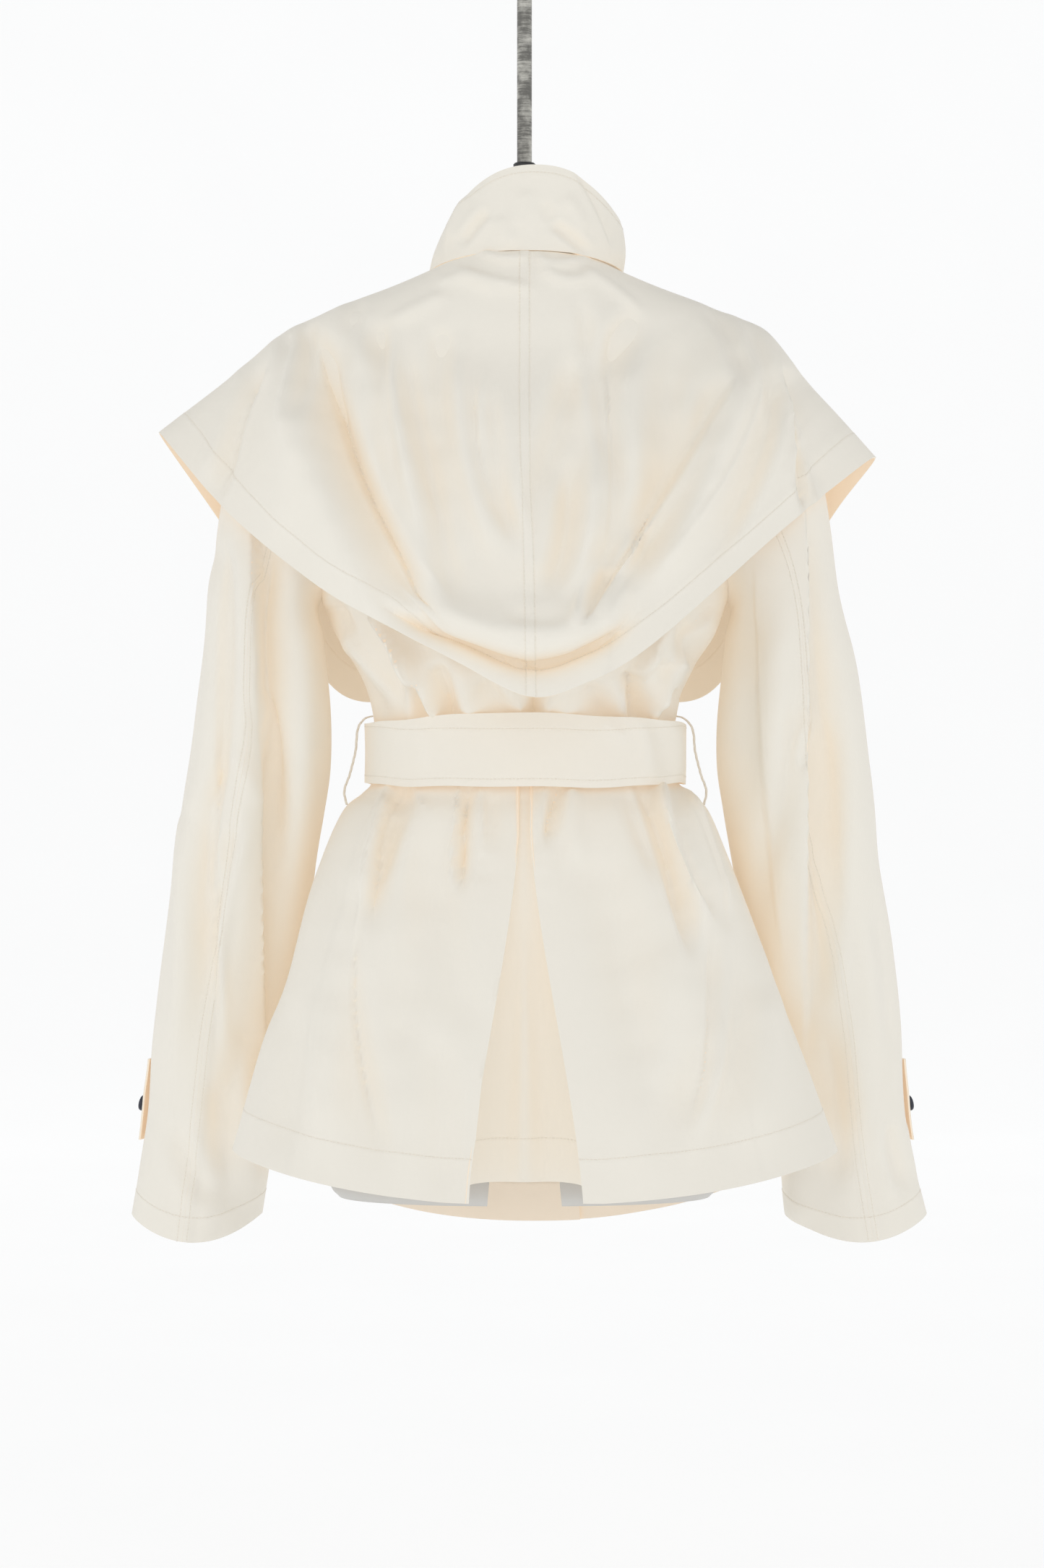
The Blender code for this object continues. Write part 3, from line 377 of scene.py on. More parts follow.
def surfaceNormal(surface, u, v, step=0.004):
    # Outward where u turns counterclockwise seen from above and v runs down
    alongU = surface(u + step, v) - surface(u - step, v)
    alongV = surface(u, v + step) - surface(u, v - step)
    normal = np.cross(alongV, alongU)
    return normal / np.linalg.norm(normal, axis=-1, keepdims=True)


def foldHeight(folds, x, z):
    # Height of soft ridges and troughs that follow curves seen from the back
    total = np.zeros(np.broadcast(x, z).shape)
    for startX, startZ, midX, midZ, endX, endZ, width, height in np.array(folds) * mm:
        run = math.hypot(endX - startX, endZ - startZ) / foldStretches
        alongX = (endX - startX) / foldStretches / run
        alongZ = (endZ - startZ) / foldStretches / run
        for middle in (np.arange(foldStretches) + 0.5) / foldStretches:
            fade = math.sin(math.pi * min(1.0, foldFadeFrom + middle)) ** foldFadePower
            px = (1 - middle) ** 2 * startX + 2 * middle * (1 - middle) * midX + middle ** 2 * endX
            pz = (1 - middle) ** 2 * startZ + 2 * middle * (1 - middle) * midZ + middle ** 2 * endZ
            across = (x - px) * alongZ - (z - pz) * alongX
            forward = (x - px) * alongX + (z - pz) * alongZ
            near = bell(across, width) * bell(forward, foldSpread * run)
            total = total + foldScale * height * fade * near
    return total


def withFolds(surface, folds, mirrored=False, calmTo=0.0, sideCalm=0.2):
    # calmTo is the v up to which the cloth lies flat on what carries it
    # The folds fade out at the side seams, so that both pieces meet there
    side = -1.0 if mirrored else 1.0

    def folded(u, v):
        point = surface(u, v)
        height = foldHeight(folds, side * point[..., 0], point[..., 2])
        height = height * smoothStep(calmTo - 0.001, calmTo + 0.15, v)
        if sideCalm:
            height = height * smoothStep(0.0, sideCalm, np.abs(np.sin(u)))
        return point + surfaceNormal(surface, u, v) * height[..., None]

    return folded


# Body surfaces

def bodyPoint(angle, level):
    sideX, sideZ, backY, backZ, frontY, frontZ = np.moveaxis(
        smoothRows(range(len(formRings)), formRings, level) * mm, -1, 0
    )
    none = np.zeros_like(sideX)
    row = np.stack([-sideX, sideX, none, sideZ, backY, backZ, frontY, frontZ], axis=-1)
    return ringPoint(row, angle, bodyPower)


def layerPoint(angle, level, offset):
    # Body surface moved out along its normal, plus the bodice's own ease
    ease = smoothRows([row[0] for row in bodiceEase], [row[1:] for row in bodiceEase], level) * mm
    along = np.sin(angle)
    front = np.where(along >= 0, ease[..., 1], ease[..., 2])
    reach = ease[..., 0] * np.cos(angle) ** 2 + front * along ** 2
    outward = np.stack([np.cos(angle), along, np.zeros_like(reach)], axis=-1)
    normal = surfaceNormal(bodyPoint, angle, level)
    return bodyPoint(angle, level) + normal * offset + outward * reach[..., None]


def bodicePoint(angle, level):
    return layerPoint(angle, level, seatGap + wallThickness)


def ringSurface(rings, power):
    def point(angle, level):
        row = smoothRows(range(len(rings)), rings, level) * mm
        return ringPoint(row, angle, power)

    return point


skirtPoint = ringSurface(skirtRings, bodyPower)
skirtFolded = withFolds(skirtPoint, skirtFolds)
collarPoint = ringSurface(collarRings, bodyPower)
beltPoint = ringSurface(beltRings, bodyPower)


def frontLift(angle):
    # Room for the second front where the two fronts overlap
    return (seatGap + wallThickness) * smoothStep(0.86, 0.97, -np.sin(angle))


def capeRows():
    # All meridians once round: left front, back, then the mirrored right front
    left = np.array(capeFrontMeridians)
    right = left[::-1].copy()
    right[:, 0] = 180.0 - right[:, 0]
    right[:, 1::3] = -right[:, 1::3]
    return np.concatenate([left, np.array(capeBackMeridians), right])


def capePoint(angle, v):
    # Seated on the bodice to level 6, then smooth through the table's points
    table = capeRows()
    degrees = np.degrees(angle)
    values = smoothRows(table[:, 0], table[:, 1:], degrees) * mm
    rows = []
    for level in (3.0, 4.0, 5.0, 6.0):
        level = np.full_like(angle, level)
        lift = surfaceNormal(bodyPoint, angle, level) * frontLift(angle)[..., None]
        rows.append(layerPoint(angle, level, 2 * (seatGap + wallThickness)) + lift)
    rows = np.stack(rows + [values[..., 0:3], values[..., 3:6], values[..., 6:9]], axis=0)
    slopes = np.gradient(rows, capePlaces, axis=0)
    index, t, span = stretchOf(capePlaces, v)

    def pick(stack, at):
        return np.take_along_axis(stack, at[None, ..., None], axis=0)[0]

    result = hermite(
        t, pick(rows, index), span * pick(slopes, index),
        pick(rows, index + 1), span * pick(slopes, index + 1),
    )
    inPouch = plateau((pouchFrom, pouchFrom + pouchFade), (pouchTo - pouchFade, pouchTo), degrees)
    shift = v - pouchLean * (degrees - 90)
    swell = pouchSwell * bell(shift - pouchSwellAt, pouchSwellWidth)
    tuck = pouchTuck * bell(shift - pouchTuckAt, pouchTuckWidth)
    result[..., 1] += (swell - tuck) * inPouch
    result[..., 2] -= pouchSag * bell(shift - pouchSagAt, pouchSagWidth) * inPouch
    return result


def pleatPath(across):
    # Section of the inverted pleat: across runs -1 to 1 through the opening
    keys = (-1.0, -0.8, -0.55, -0.35, 0.0, 0.35, 0.55, 0.8, 1.0)
    rows = (
        (-1.0, 0.0), (-1.03, 0.45), (-0.98, 0.85), (-0.7, 1.0), (0.0, 1.03),
        (0.7, 1.0), (0.98, 0.85), (1.03, 0.45), (1.0, 0.0),
    )
    return smoothRows(keys, rows, across)


def skirtBackPoint(u, level):
    # u runs 0 to 180 degrees, with the pleat in the zone around 90
    outer = skirtFolded(u, level)
    middle = skirtPoint(np.full_like(u, math.pi / 2), level)
    below = np.clip((pleatTop - middle[..., 2]) / pleatRun, 0.0, 1.0)
    opening = 0.5 * smoothStep(0.0, 1.0, below) + 0.5 * below
    half = pleatHalfAtTop + (pleatHalfOpening - pleatHalfAtTop) * opening
    depth = pleatDepthAtTop + (pleatDepth - pleatDepthAtTop) * opening
    across = (u - math.pi / 2) / pleatZone
    path = pleatPath(np.clip(across, -1.0, 1.0))
    inside = np.abs(across) < 1.0
    # Beside the pleat the cloth is pushed aside, so that it starts at the pleat's edge
    edge = skirtPoint(np.full_like(u, math.pi / 2 - pleatZone), level)[..., 0]
    near = 1 - smoothStep(0.0, pleatPush, np.abs(outer[..., 0]))
    pushed = outer[..., 0] + np.sign(outer[..., 0]) * (half - edge) * near
    x = np.where(inside, -path[..., 0] * half, pushed)
    y = outer[..., 1] - np.where(inside, path[..., 1] * depth, 0.0)
    z = outer[..., 2] + np.where(inside, path[..., 1] * depth * pleatRise, 0.0)
    return np.stack([x, y, z], axis=-1)


def armholePoint(around, offset):
    # Curve of the armhole seam on the left side of the bodice, 0 at its top
    level = armholeMiddle - armholeHalf * np.cos(around)
    reach = np.where(np.sin(around) >= 0, armholeBackReach, armholeFrontReach)
    angle = np.radians(reach) * np.sin(around)
    return layerPoint(angle, level, seatGap + wallThickness + offset)


def sleevePoint(extraScale, inset):
    # Sleeve surface: v from 0 at the armhole to 1 at the armpit ring, then ring numbers
    rows = np.array(sleeveRings)
    rings = rows[:, :8].copy()
    rings[:, 1] += rows[:, 8] * extraScale
    lower = ringSurface(rings, sleevePower)

    def point(around, v):
        around, v = np.broadcast_arrays(around, v)
        first = armholePoint(around, inset)
        last = lower(around, np.zeros_like(v))
        pull = headPull * np.linalg.norm(last - first, axis=-1, keepdims=True)
        lean = 0.5 + 0.5 * np.cos(around)
        across, along, up = headDirection
        out = np.stack([
            across + headTopLean[0] * lean, along * np.sin(around), up + headTopLean[1] * lean,
        ], axis=-1)
        out = out / np.linalg.norm(out, axis=-1, keepdims=True)
        down = lower(around, np.full_like(v, 0.02)) - lower(around, np.full_like(v, -0.02))
        down = down / np.linalg.norm(down, axis=-1, keepdims=True)
        upper = hermite(np.minimum(v, 1.0)[..., None], first, pull * out, last, pull * down)
        return np.where(v[..., None] < 1.0, upper, lower(around, np.maximum(v - 1.0, 0.0)))

    return point


def overFront(surface):
    # The outer front passes over the inner one where they overlap
    def lifted(angle, level):
        normal = surfaceNormal(surface, angle, level)
        return surface(angle, level) + normal * frontLift(angle)[..., None]

    return lifted


def mirrorX(surface):
    # The same surface on the wearer's right, still counterclockwise from above
    def mirrored(u, v):
        return surface(math.pi - u, v) * np.array([-1.0, 1.0, 1.0])

    return mirrored


# Finer folds that the photograph shows, in whole millimetres or tenths
# Columns: startX, startZ, midX, midZ, endX, endZ, width, height, lean
# A positive lean makes the flank on the picture's left the wider one
capeLook = (
    (165, -311, 124, -439, 69, -536, 13, -9, 0.35),
    (152, -311, 104, -439, 62, -515, 11, 4, 0),
    (187, -340, 153, -444, 92, -530, 30, 5, 0),
    (174, -290, 176, -330, 176, -390, 6, -3.0, 0),
    (189, -300, 191, -325, 194, -365, 6, -2.0, 0),
    (130, -276, 140, -300, 146, -335, 7, -1.6, 0),
    (114, -300, 111, -352, 99, -439, 8, -4, 0.2),
    (103, -329, 89, -410, 71, -501, 9, 3.5, 0),
    (93, -340, 75, -421, 56, -505, 8, -3.5, 0),
    (65, -304, 65, -340, 60, -398, 9, -3, 0),
    (53, -329, 45, -398, 23, -484, 9, 3, 0),
    (42, -337, 35, -398, 12, -467, 8, -4, 0.2),
    (27, -352, 21, -410, 6, -474, 6, -3.5, 0),
    (-45, -280, -50, -320, -56, -370, 6, -1.6, 0),
    (-88, -291, -65, -340, -67, -416, 10, -4.5, -0.2),
    (-68, -387, -71, -444, -57, -501, 9, -4, 0),
    (-37, -332, -24, -381, -11, -444, 9, -3.5, 0),
    (-33, -416, -32, -470, -19, -508, 8, -4.5, 0),
    (-50, -410, -48, -467, -36, -518, 10, 3.5, 0),
    (-146, -280, -166, -312, -172, -365, 7, -2.6, 0),
    (-180, -296, -191, -325, -197, -365, 6, -2.0, 0),
    (-167, -335, -136, -404, -74, -481, 10, 5, -0.2),
    (-159, -345, -127, -423, -86, -493, 11, -6.5, 0.3),
    (-180, -329, -155, -410, -100, -501, 12, 4, 0),
    (-200, -336, -187, -398, -151, -476, 9, -4.5, 0.3),
    (-118, -364, -106, -433, -80, -501, 12, -3, 0),
    (-67, -494, -54, -514, -47, -538, 7, -6, -0.3),
    (-88, -468, -65, -501, -31, -555, 9, 5, 0),
    (210, -328, 228, -370, 241, -428, 6, -4.5, 0.3),
    (220, -335, 237, -378, 253, -416, 9, 3, 0),
    (173, -364, 183, -410, 191, -467, 16, 3, 0),
    (3, -364, 2, -433, 0, -501, 12, 2.5, 0),
    (-213, -357, -221, -381, -224, -401, 4, 3, 0),
    (-223, -390, -219, -416, -224, -440, 4, -3.5, 0),
    (-226, -404, -230, -424, -234, -439, 4, 2.5, 0),
    (14, -529, -9, -533, -32, -531, 6, -2.0, 0),
    (70, -525, 42, -537, 12, -546, 6, 2.0, 0),
    (36, -238, 15, -245, -3, -242, 4, 2.6, 0),
    (-9, -242, -25, -249, -49, -243, 4, 2.6, 0),
    (-13, -252, -31, -262, -52, -259, 5, 2.4, 0),
    (54, -252, 25, -263, -6, -269, 5, 2.6, 0.3),
    (68, -266, 49, -261, 22, -273, 5, 2.0, 0),
    (-46, -254, -66, -266, -92, -288, 5, 2.4, 0),
    (62, -274, 84, -284, 108, -296, 6, 2.0, 0),
)
# Fold edges: the cloth drops behind them on one side and comes back slowly
# Columns: as above, with the edge's width, the drop and the way back, which is
# negative where the drop is on the picture's left
capeEdges = (
    (166, -306, 136, -410, 69, -537, 3, -8, 24),
    (-166, -339, -118, -423, -32, -556, 3, -8.5, -24),
    (-206, -325, -215, -375, -221, -446, 3, -9, 20),
    (212, -329, 226, -370, 240, -426, 3, -3, 16),
    (101, -338, 85, -404, 64, -467, 3, -3, 12),
    (37, -346, 33, -410, 8, -470, 3, -2.5, -10),
    (-62, -329, -67, -410, -62, -484, 3, -3, 12),
    (-189, -332, -160, -410, -97, -496, 4, -3, -16),
)
# The same kind of folds on the cape's fronts, for the wearer's left; mirrored on the right
capeFrontLook = (
    (150, -310, 140, -420, 118, -560, 12, -6, 0.3),
    (120, -330, 118, -440, 104, -570, 12, 4, 0),
    (72, -360, 70, -450, 66, -580, 9, -5, -0.2),
    (25, -400, 27, -480, 30, -580, 10, 3.5, 0),
    (205, -330, 214, -400, 206, -480, 9, -4, 0.2),
    (176, -310, 186, -350, 190, -400, 6, -3, 0),
)
bodiceLook = (
    (158, -516, 151, -529, 143, -544, 7, -4, 0),
    (136, -520, 116, -551, 96, -590, 8, -6, 0.2),
    (127, -522, 104, -550, 82, -590, 10, 5, 0),
    (73, -570, 64, -587, 56, -612, 7, -7, -0.3),
    (86, -578, 82, -594, 79, -614, 5, -6, 0),
    (98, -556, 77, -581, 69, -608, 8, 5, 0),
    (35, -581, 19, -594, 6, -612, 8, -4, 0),
    (-10, -587, -8, -596, -5, -614, 5, -7, 0),
    (15, -573, 12, -590, 11, -612, 9, 4, 0),
    (-25, -573, -29, -590, -32, -612, 10, 4, 0),
    (-48, -584, -56, -595, -63, -612, 8, -4, 0),
    (-85, -575, -87, -591, -90, -614, 6, -7, 0),
    (-98, -544, -101, -573, -105, -610, 10, 4, 0),
    (-131, -528, -132, -549, -129, -564, 9, -5, 0),
    (-115, -564, -106, -574, -94, -583, 6, -5, 0),
    (-132, -559, -115, -570, -101, -598, 8, 5, 0),
    (-118, -584, -112, -594, -110, -612, 6, -5, 0),
    (43, -556, 48, -581, 46, -612, 9, 4, 0),
    (159, -556, 144, -573, 125, -598, 8, 4, 0),
    (144, -559, 130, -575, 110, -604, 6, -4, 0),
)
bodiceEdges = (
    (158, -514, 135, -550, 90, -604, 4, -6, 16),
    (140, -512, 100, -550, 64, -604, 4, -5, 16),
    (-157, -514, -127, -553, -89, -604, 4, -6, -16),
    (-136, -512, -101, -551, -68, -604, 4, -5, -16),
    (15, -556, 6, -581, 3, -606, 4, -3, 10),
)
bodiceFrontLook = (
    (20, -560, 22, -590, 22, -614, 6, -5, 0),
    (48, -550, 50, -585, 50, -614, 7, -6, 0.2),
    (62, -540, 66, -580, 66, -612, 8, 4, 0),
    (88, -560, 86, -590, 84, -614, 6, -6, 0),
    (112, -540, 108, -580, 100, -610, 8, -4, 0),
    (-30, -565, -32, -590, -34, -614, 6, -5, 0),
    (-60, -545, -62, -585, -60, -614, 7, -6, -0.2),
    (-80, -540, -80, -580, -76, -612, 8, 4, 0),
    (-106, -555, -102, -590, -96, -614, 6, -5, 0),
)
skirtLook = (
    (91, -655, 109, -691, 123, -775, 7, -5, -0.4),
    (99, -668, 116, -697, 127, -742, 8, 4, 0),
    (132, -744, 137, -819, 111, -945, 13, -4.5, 0.3),
    (144, -747, 153, -830, 158, -945, 16, 4, 0),
    (102, -753, 101, -836, 92, -945, 26, 5, 0),
    (44, -655, 50, -697, 52, -737, 5, -5, -0.4),
    (37, -664, 35, -691, 26, -725, 8, 3, 0),
    (64, -725, 58, -792, 42, -847, 14, -2.5, 0),
    (-30, -655, -24, -677, -19, -702, 5, -4, 0),
    (-37, -664, -37, -685, -42, -719, 8, 3, 0),
    (-89, -655, -112, -725, -130, -790, 7, -5, -0.4),
    (-103, -655, -121, -719, -140, -775, 8, 5, 0),
    (-116, -655, -127, -714, -148, -759, 6, -5, -0.3),
    (-127, -661, -146, -714, -160, -759, 7, 3.5, 0),
    (-145, -781, -142, -858, -115, -923, 12, -5, 0.3),
    (-164, -792, -163, -863, -146, -934, 12, -3.5, 0),
    (-156, -781, -153, -858, -133, -940, 9, 3, 0),
    (-100, -792, -97, -869, -85, -967, 24, 4, 0),
    (-187, -825, -189, -874, -185, -940, 16, 4, 0),
    (182, -836, 184, -891, 192, -945, 16, -3, 0),
    (70, -858, 64, -912, 63, -977, 14, -3, 0),
)
skirtEdges = (
    (91, -656, 112, -693, 121, -780, 3, -5.5, 16),
    (121, -732, 134, -825, 112, -950, 4, -4, 20),
    (-99, -663, -123, -725, -139, -792, 4, -5.5, -16),
    (-125, -660, -148, -712, -163, -775, 4, -5, -12),
    (44, -662, 50, -697, 53, -747, 3, -4, 10),
    (-146, -772, -143, -858, -120, -934, 4, -4, 18),
    (-29, -662, -24, -680, -17, -719, 3, -3, -8),
)
skirtFrontLook = (
    (40, -655, 46, -740, 52, -830, 7, -4, 0.2),
    (70, -655, 80, -740, 92, -860, 9, -5, 0.3),
    (84, -660, 96, -780, 110, -960, 12, 4, 0),
    (112, -655, 130, -740, 156, -860, 8, -5, 0.3),
    (130, -760, 150, -860, 172, -960, 12, 4, 0),
    (20, -760, 24, -880, 30, -1000, 14, 3, 0),
    (-46, -655, -50, -730, -60, -820, 7, -4, -0.2),
    (-78, -655, -90, -760, -100, -880, 9, -5, -0.3),
    (-104, -660, -122, -800, -136, -960, 12, 4, 0),
    (-124, -655, -146, -760, -170, -880, 8, -4, -0.3),
    (-60, -860, -66, -940, -70, -1010, 14, -3, 0),
)
leftSleeveLook = (
    (245, -470, 235, -530, 243, -646, 7, -3.5, 0),
    (243, -646, 254, -727, 254, -858, 7, -5, 0.3),
    (224, -473, 224, -611, 231, -786, 12, 4, 0),
    (204, -473, 202, -571, 201, -698, 9, -4, -0.3),
    (182, -520, 178, -599, 186, -727, 14, 4, 0),
    (265, -680, 260, -739, 267, -870, 9, -4, 0),
    (274, -698, 279, -786, 290, -894, 10, 3, 0),
    (230, -692, 242, -733, 252, -777, 5, -3, 0),
    (234, -628, 221, -657, 215, -680, 6, 2, 0),
    (289, -943, 277, -979, 255, -1004, 9, -3, 0),
    (234, -870, 229, -931, 224, -998, 12, 3.5, 0),
    (253, -906, 249, -955, 244, -1016, 10, -3, 0),
)
leftSleeveEdges = (
    (216, -440, 210, -640, 212, -900, 3, -19, 20),
    (238, -440, 246, -640, 257, -890, 3, 4, -18),
)
rightSleeveLook = (
    (-239, -450, -243, -553, -247, -686, 9, -5, -0.2),
    (-244, -680, -242, -757, -239, -834, 9, -4, 0),
    (-246, -473, -256, -599, -275, -745, 12, 3, 0),
    (-204, -520, -199, -599, -199, -698, 14, 3, 0),
    (-181, -530, -175, -588, -180, -680, 14, -3, 0),
    (-212, -692, -208, -774, -213, -846, 12, 3.5, 0),
    (-290, -757, -300, -822, -306, -882, 9, -3, 0),
    (-229, -617, -227, -631, -225, -646, 4, -3, 0),
    (-268, -846, -281, -906, -292, -967, 12, 3, 0),
    (-245, -864, -258, -931, -260, -992, 10, -3.5, 0),
    (-306, -943, -309, -967, -321, -998, 8, -4, 0),
    (-229, -943, -228, -992, -232, -1029, 10, 3, 0),
)
rightSleeveEdges = (
    (-224, -420, -229, -620, -231, -880, 3, -16, 20),
    (-182, -480, -190, -640, -214, -820, 3, -3, -14),
)
# Folds on the sleeves' hidden front side, for the left; mirrored on the right
sleeveFrontLook = (
    (205, -500, 200, -600, 202, -720, 9, -5, 0.3),
    (225, -520, 226, -640, 236, -780, 12, 4, 0),
    (246, -520, 250, -640, 262, -800, 9, -4, -0.2),
    (184, -600, 190, -700, 200, -800, 9, 3, 0),
    (236, -820, 250, -900, 262, -990, 10, -4, 0.2),
    (268, -840, 282, -900, 296, -980, 10, 3, 0),
)
collarLook = (
    (30, -206, 40, -217, 49, -230, 4, -2.2, 0),
    (-22, -216, -36, -226, -50, -238, 4, -2.4, 0),
    (-30, -196, -40, -205, -46, -222, 6, 1.6, 0),
    (-17, -200, -19, -207, -22, -213, 5, -1.2, 0),
    (51, -189, 56, -205, 63, -228, 6, 2.2, 0),
    (21, -211, 15, -223, 6, -232, 7, 1.4, 0),
    (0, -190, 0, -205, 4, -220, 9, 1.2, 0),
)
collarEdges = (
    (-38, -172, -58, -204, -71, -236, 4, -3.5, 16),
    (36, -175, 56, -205, 66, -236, 4, -2.2, -14),
)
beltLook = (
    (-84, -604, -96, -630, -92, -660, 8, 1.6, 0),
    (-104, -606, -110, -632, -118, -660, 7, -1.2, 0),
    (-62, -606, -70, -618, -82, -622, 6, 1.2, 0),
    (88, -608, 80, -624, 84, -646, 8, 1.0, 0),
    (20, -606, 10, -630, 16, -660, 12, 0.9, 0),
    (-122, -612, -124, -634, -122, -656, 6, 1.3, 0),
)


# Cloth made from a surface

# A crease's cloth banks up on both sides; its ends fade over these shares of its length
creaseShape = {
    "height": 1.5, "bank": 0.35, "bankAt": 1.9, "bankWidth": 0.9,
    "rise": (-0.12, 0.22), "fall": (0.78, 1.12),
    "edgeRise": (-0.03, 0.2), "edgeFall": (0.75, 1.03),
    "points": 21, "reach": 4.5,
}


def curveField(table, x, z):
    # For each row of a fold table: how far a point lies beside and beyond the curve
    shares = np.linspace(0.0, 1.0, creaseShape["points"])
    weights = np.stack([(1 - shares) ** 2, 2 * shares * (1 - shares), shares ** 2], axis=-1)
    for row in np.array(table, float):
        points = row[:6].reshape(3, 2) * mm
        # The middle point lies on the curve
        points[1] = 2 * points[1] - (points[0] + points[2]) / 2
        curve = weights @ points
        reach = creaseShape["reach"] * max(row[6], abs(row[8])) * mm
        near = (
            (x > curve[:, 0].min() - reach) & (x < curve[:, 0].max() + reach)
            & (z > curve[:, 1].min() - reach) & (z < curve[:, 1].max() + reach)
        )
        if not near.any():
            continue
        px, pz = x[near], z[near]
        index = ((px[:, None] - curve[:, 0]) ** 2 + (pz[:, None] - curve[:, 1]) ** 2).argmin(axis=1)
        ahead = np.gradient(curve, axis=0)
        run = np.linalg.norm(ahead, axis=1)
        along = (ahead / run[:, None])[index]
        offX = px - curve[index, 0]
        offZ = pz - curve[index, 1]
        across = offX * along[:, 1] - offZ * along[:, 0]
        forward = offX * along[:, 0] + offZ * along[:, 1]
        share = np.clip(shares[index] + forward / run[index] / (len(shares) - 1), -0.5, 1.5)
        yield near, across, share, row[6] * mm, row[7] * mm, row[8]


def foldField(table, x, z):
    # Soft troughs and ridges with a narrow and a wide flank
    look = creaseShape
    total = np.zeros_like(x)
    for near, across, share, width, height, lean in curveField(table, x, z):
        flank = width * np.where(across < 0, 1 + lean, 1 - lean)
        profile = bell(across, flank)
        if height < 0:
            bank = bell(np.abs(across) - look["bankAt"] * flank, look["bankWidth"] * flank)
            profile = profile - look["bank"] * bank
        total[near] += look["height"] * height * profile * plateau(look["rise"], look["fall"], share)
    return total


def edgeField(table, x, z):
    # Fold edges: a quick drop on one side of the curve that comes back slowly
    look = creaseShape
    total = np.zeros_like(x)
    for near, across, share, width, height, recovery in curveField(table, x, z):
        across = across * math.copysign(1.0, recovery)
        drop = smoothStep(-width / 2, width / 2, across)
        profile = drop * bell(np.maximum(across, 0.0), abs(recovery) * mm)
        total[near] += height * profile * plateau(look["edgeRise"], look["edgeFall"], share)
    return total


def ripple(points, height, size, seed):
    # Uneven cloth: a few crossing waves, the same wherever two pieces meet
    random = np.random.default_rng(seed)
    total = np.zeros(points.shape[:-1])
    for _ in range(9):
        direction = random.normal(size=3) * np.array([1.0, 1.0, 0.55])
        direction = direction / np.linalg.norm(direction)
        length = size * random.uniform(0.6, 1.9)
        total += np.sin(points @ direction * 2 * math.pi / length + random.uniform(0, 7))
    return height * total / 3


def fineRows(surface, u, vSpan, rows, edgeDistances):
    # Rows that keep a constant distance from one edge near it, and spread evenly beyond
    steps = np.linspace(*vSpan, 200)
    gridU, gridV = np.meshgrid(u, steps)
    points = surface(gridU, gridV)
    lengths = np.linalg.norm(np.diff(points, axis=0), axis=-1)
    lengths = np.vstack([np.zeros(len(u)), np.cumsum(lengths, axis=0)])
    edgeDistances = np.asarray(edgeDistances)
    band = edgeDistances.max()
    even = np.linspace(0.0, 1.0, rows, endpoint=False)
    result = np.empty((rows + len(edgeDistances), len(u)))
    distance = np.empty_like(result)
    for column in range(len(u)):
        total = lengths[-1, column]
        wanted = np.concatenate([even * (total - band), total - edgeDistances])
        result[:, column] = np.interp(wanted, lengths[:, column], steps)
        distance[:, column] = total - wanted
    return np.broadcast_to(u, result.shape), result, distance


def gridNormals(points):
    normal = np.cross(np.gradient(points, axis=0), np.gradient(points, axis=1))
    length = np.linalg.norm(normal, axis=-1, keepdims=True)
    return normal / np.maximum(length, 1e-12)


def meshObject(name, vertices, faces, material=None, smooth=True):
    mesh = bpy.data.meshes.new(name)
    mesh.from_pydata(np.asarray(vertices).tolist(), [], faces)
    if smooth:
        mesh.shade_smooth()
    if material:
        mesh.materials.append(material)
    shape = bpy.data.objects.new(name, mesh)
    scene.collection.objects.link(shape)
    return shape


def ringFaces(count, sides, capped=False, flipped=False):
    # Quads between rings of points; a cap is a fan round one of the points after the rings
    faces = []
    for row in range(count - 1):
        for side in range(sides):
            beside = (side + 1) % sides
            faces.append((row * sides + side, row * sides + beside,
                          (row + 1) * sides + beside, (row + 1) * sides + side))
    if capped:
        last = (count - 1) * sides
        for side in range(sides):
            beside = (side + 1) % sides
            faces.append((beside, side, count * sides))
            faces.append((last + side, last + beside, count * sides + 1))
    if flipped:
        faces = [face[:1] + face[:0:-1] for face in faces]
    return faces


def joined(parts):
    # One list of points and faces out of several
    vertices, faces, start = [], [], 0
    for places, corners in parts:
        vertices.append(places)
        faces += [tuple(start + corner for corner in face) for face in corners]
        start += len(places)
    return np.concatenate(vertices), faces


def cutAway(shape, cutter):
    cut = shape.modifiers.new(cutter.name, "BOOLEAN")
    cut.operation = "DIFFERENCE"
    cut.solver = "EXACT"
    cut.object = cutter
    bpy.context.view_layer.update()
    evaluated = shape.evaluated_get(bpy.context.evaluated_depsgraph_get())
    result = bpy.data.meshes.new_from_object(evaluated)
    shape.modifiers.clear()
    shape.data = result
    bpy.data.objects.remove(cutter)


def carry(shape, node=None):
    # Rides on the part's one body, in place of a solid if one is named
    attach(shape, "root")
    if node:
        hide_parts(node)


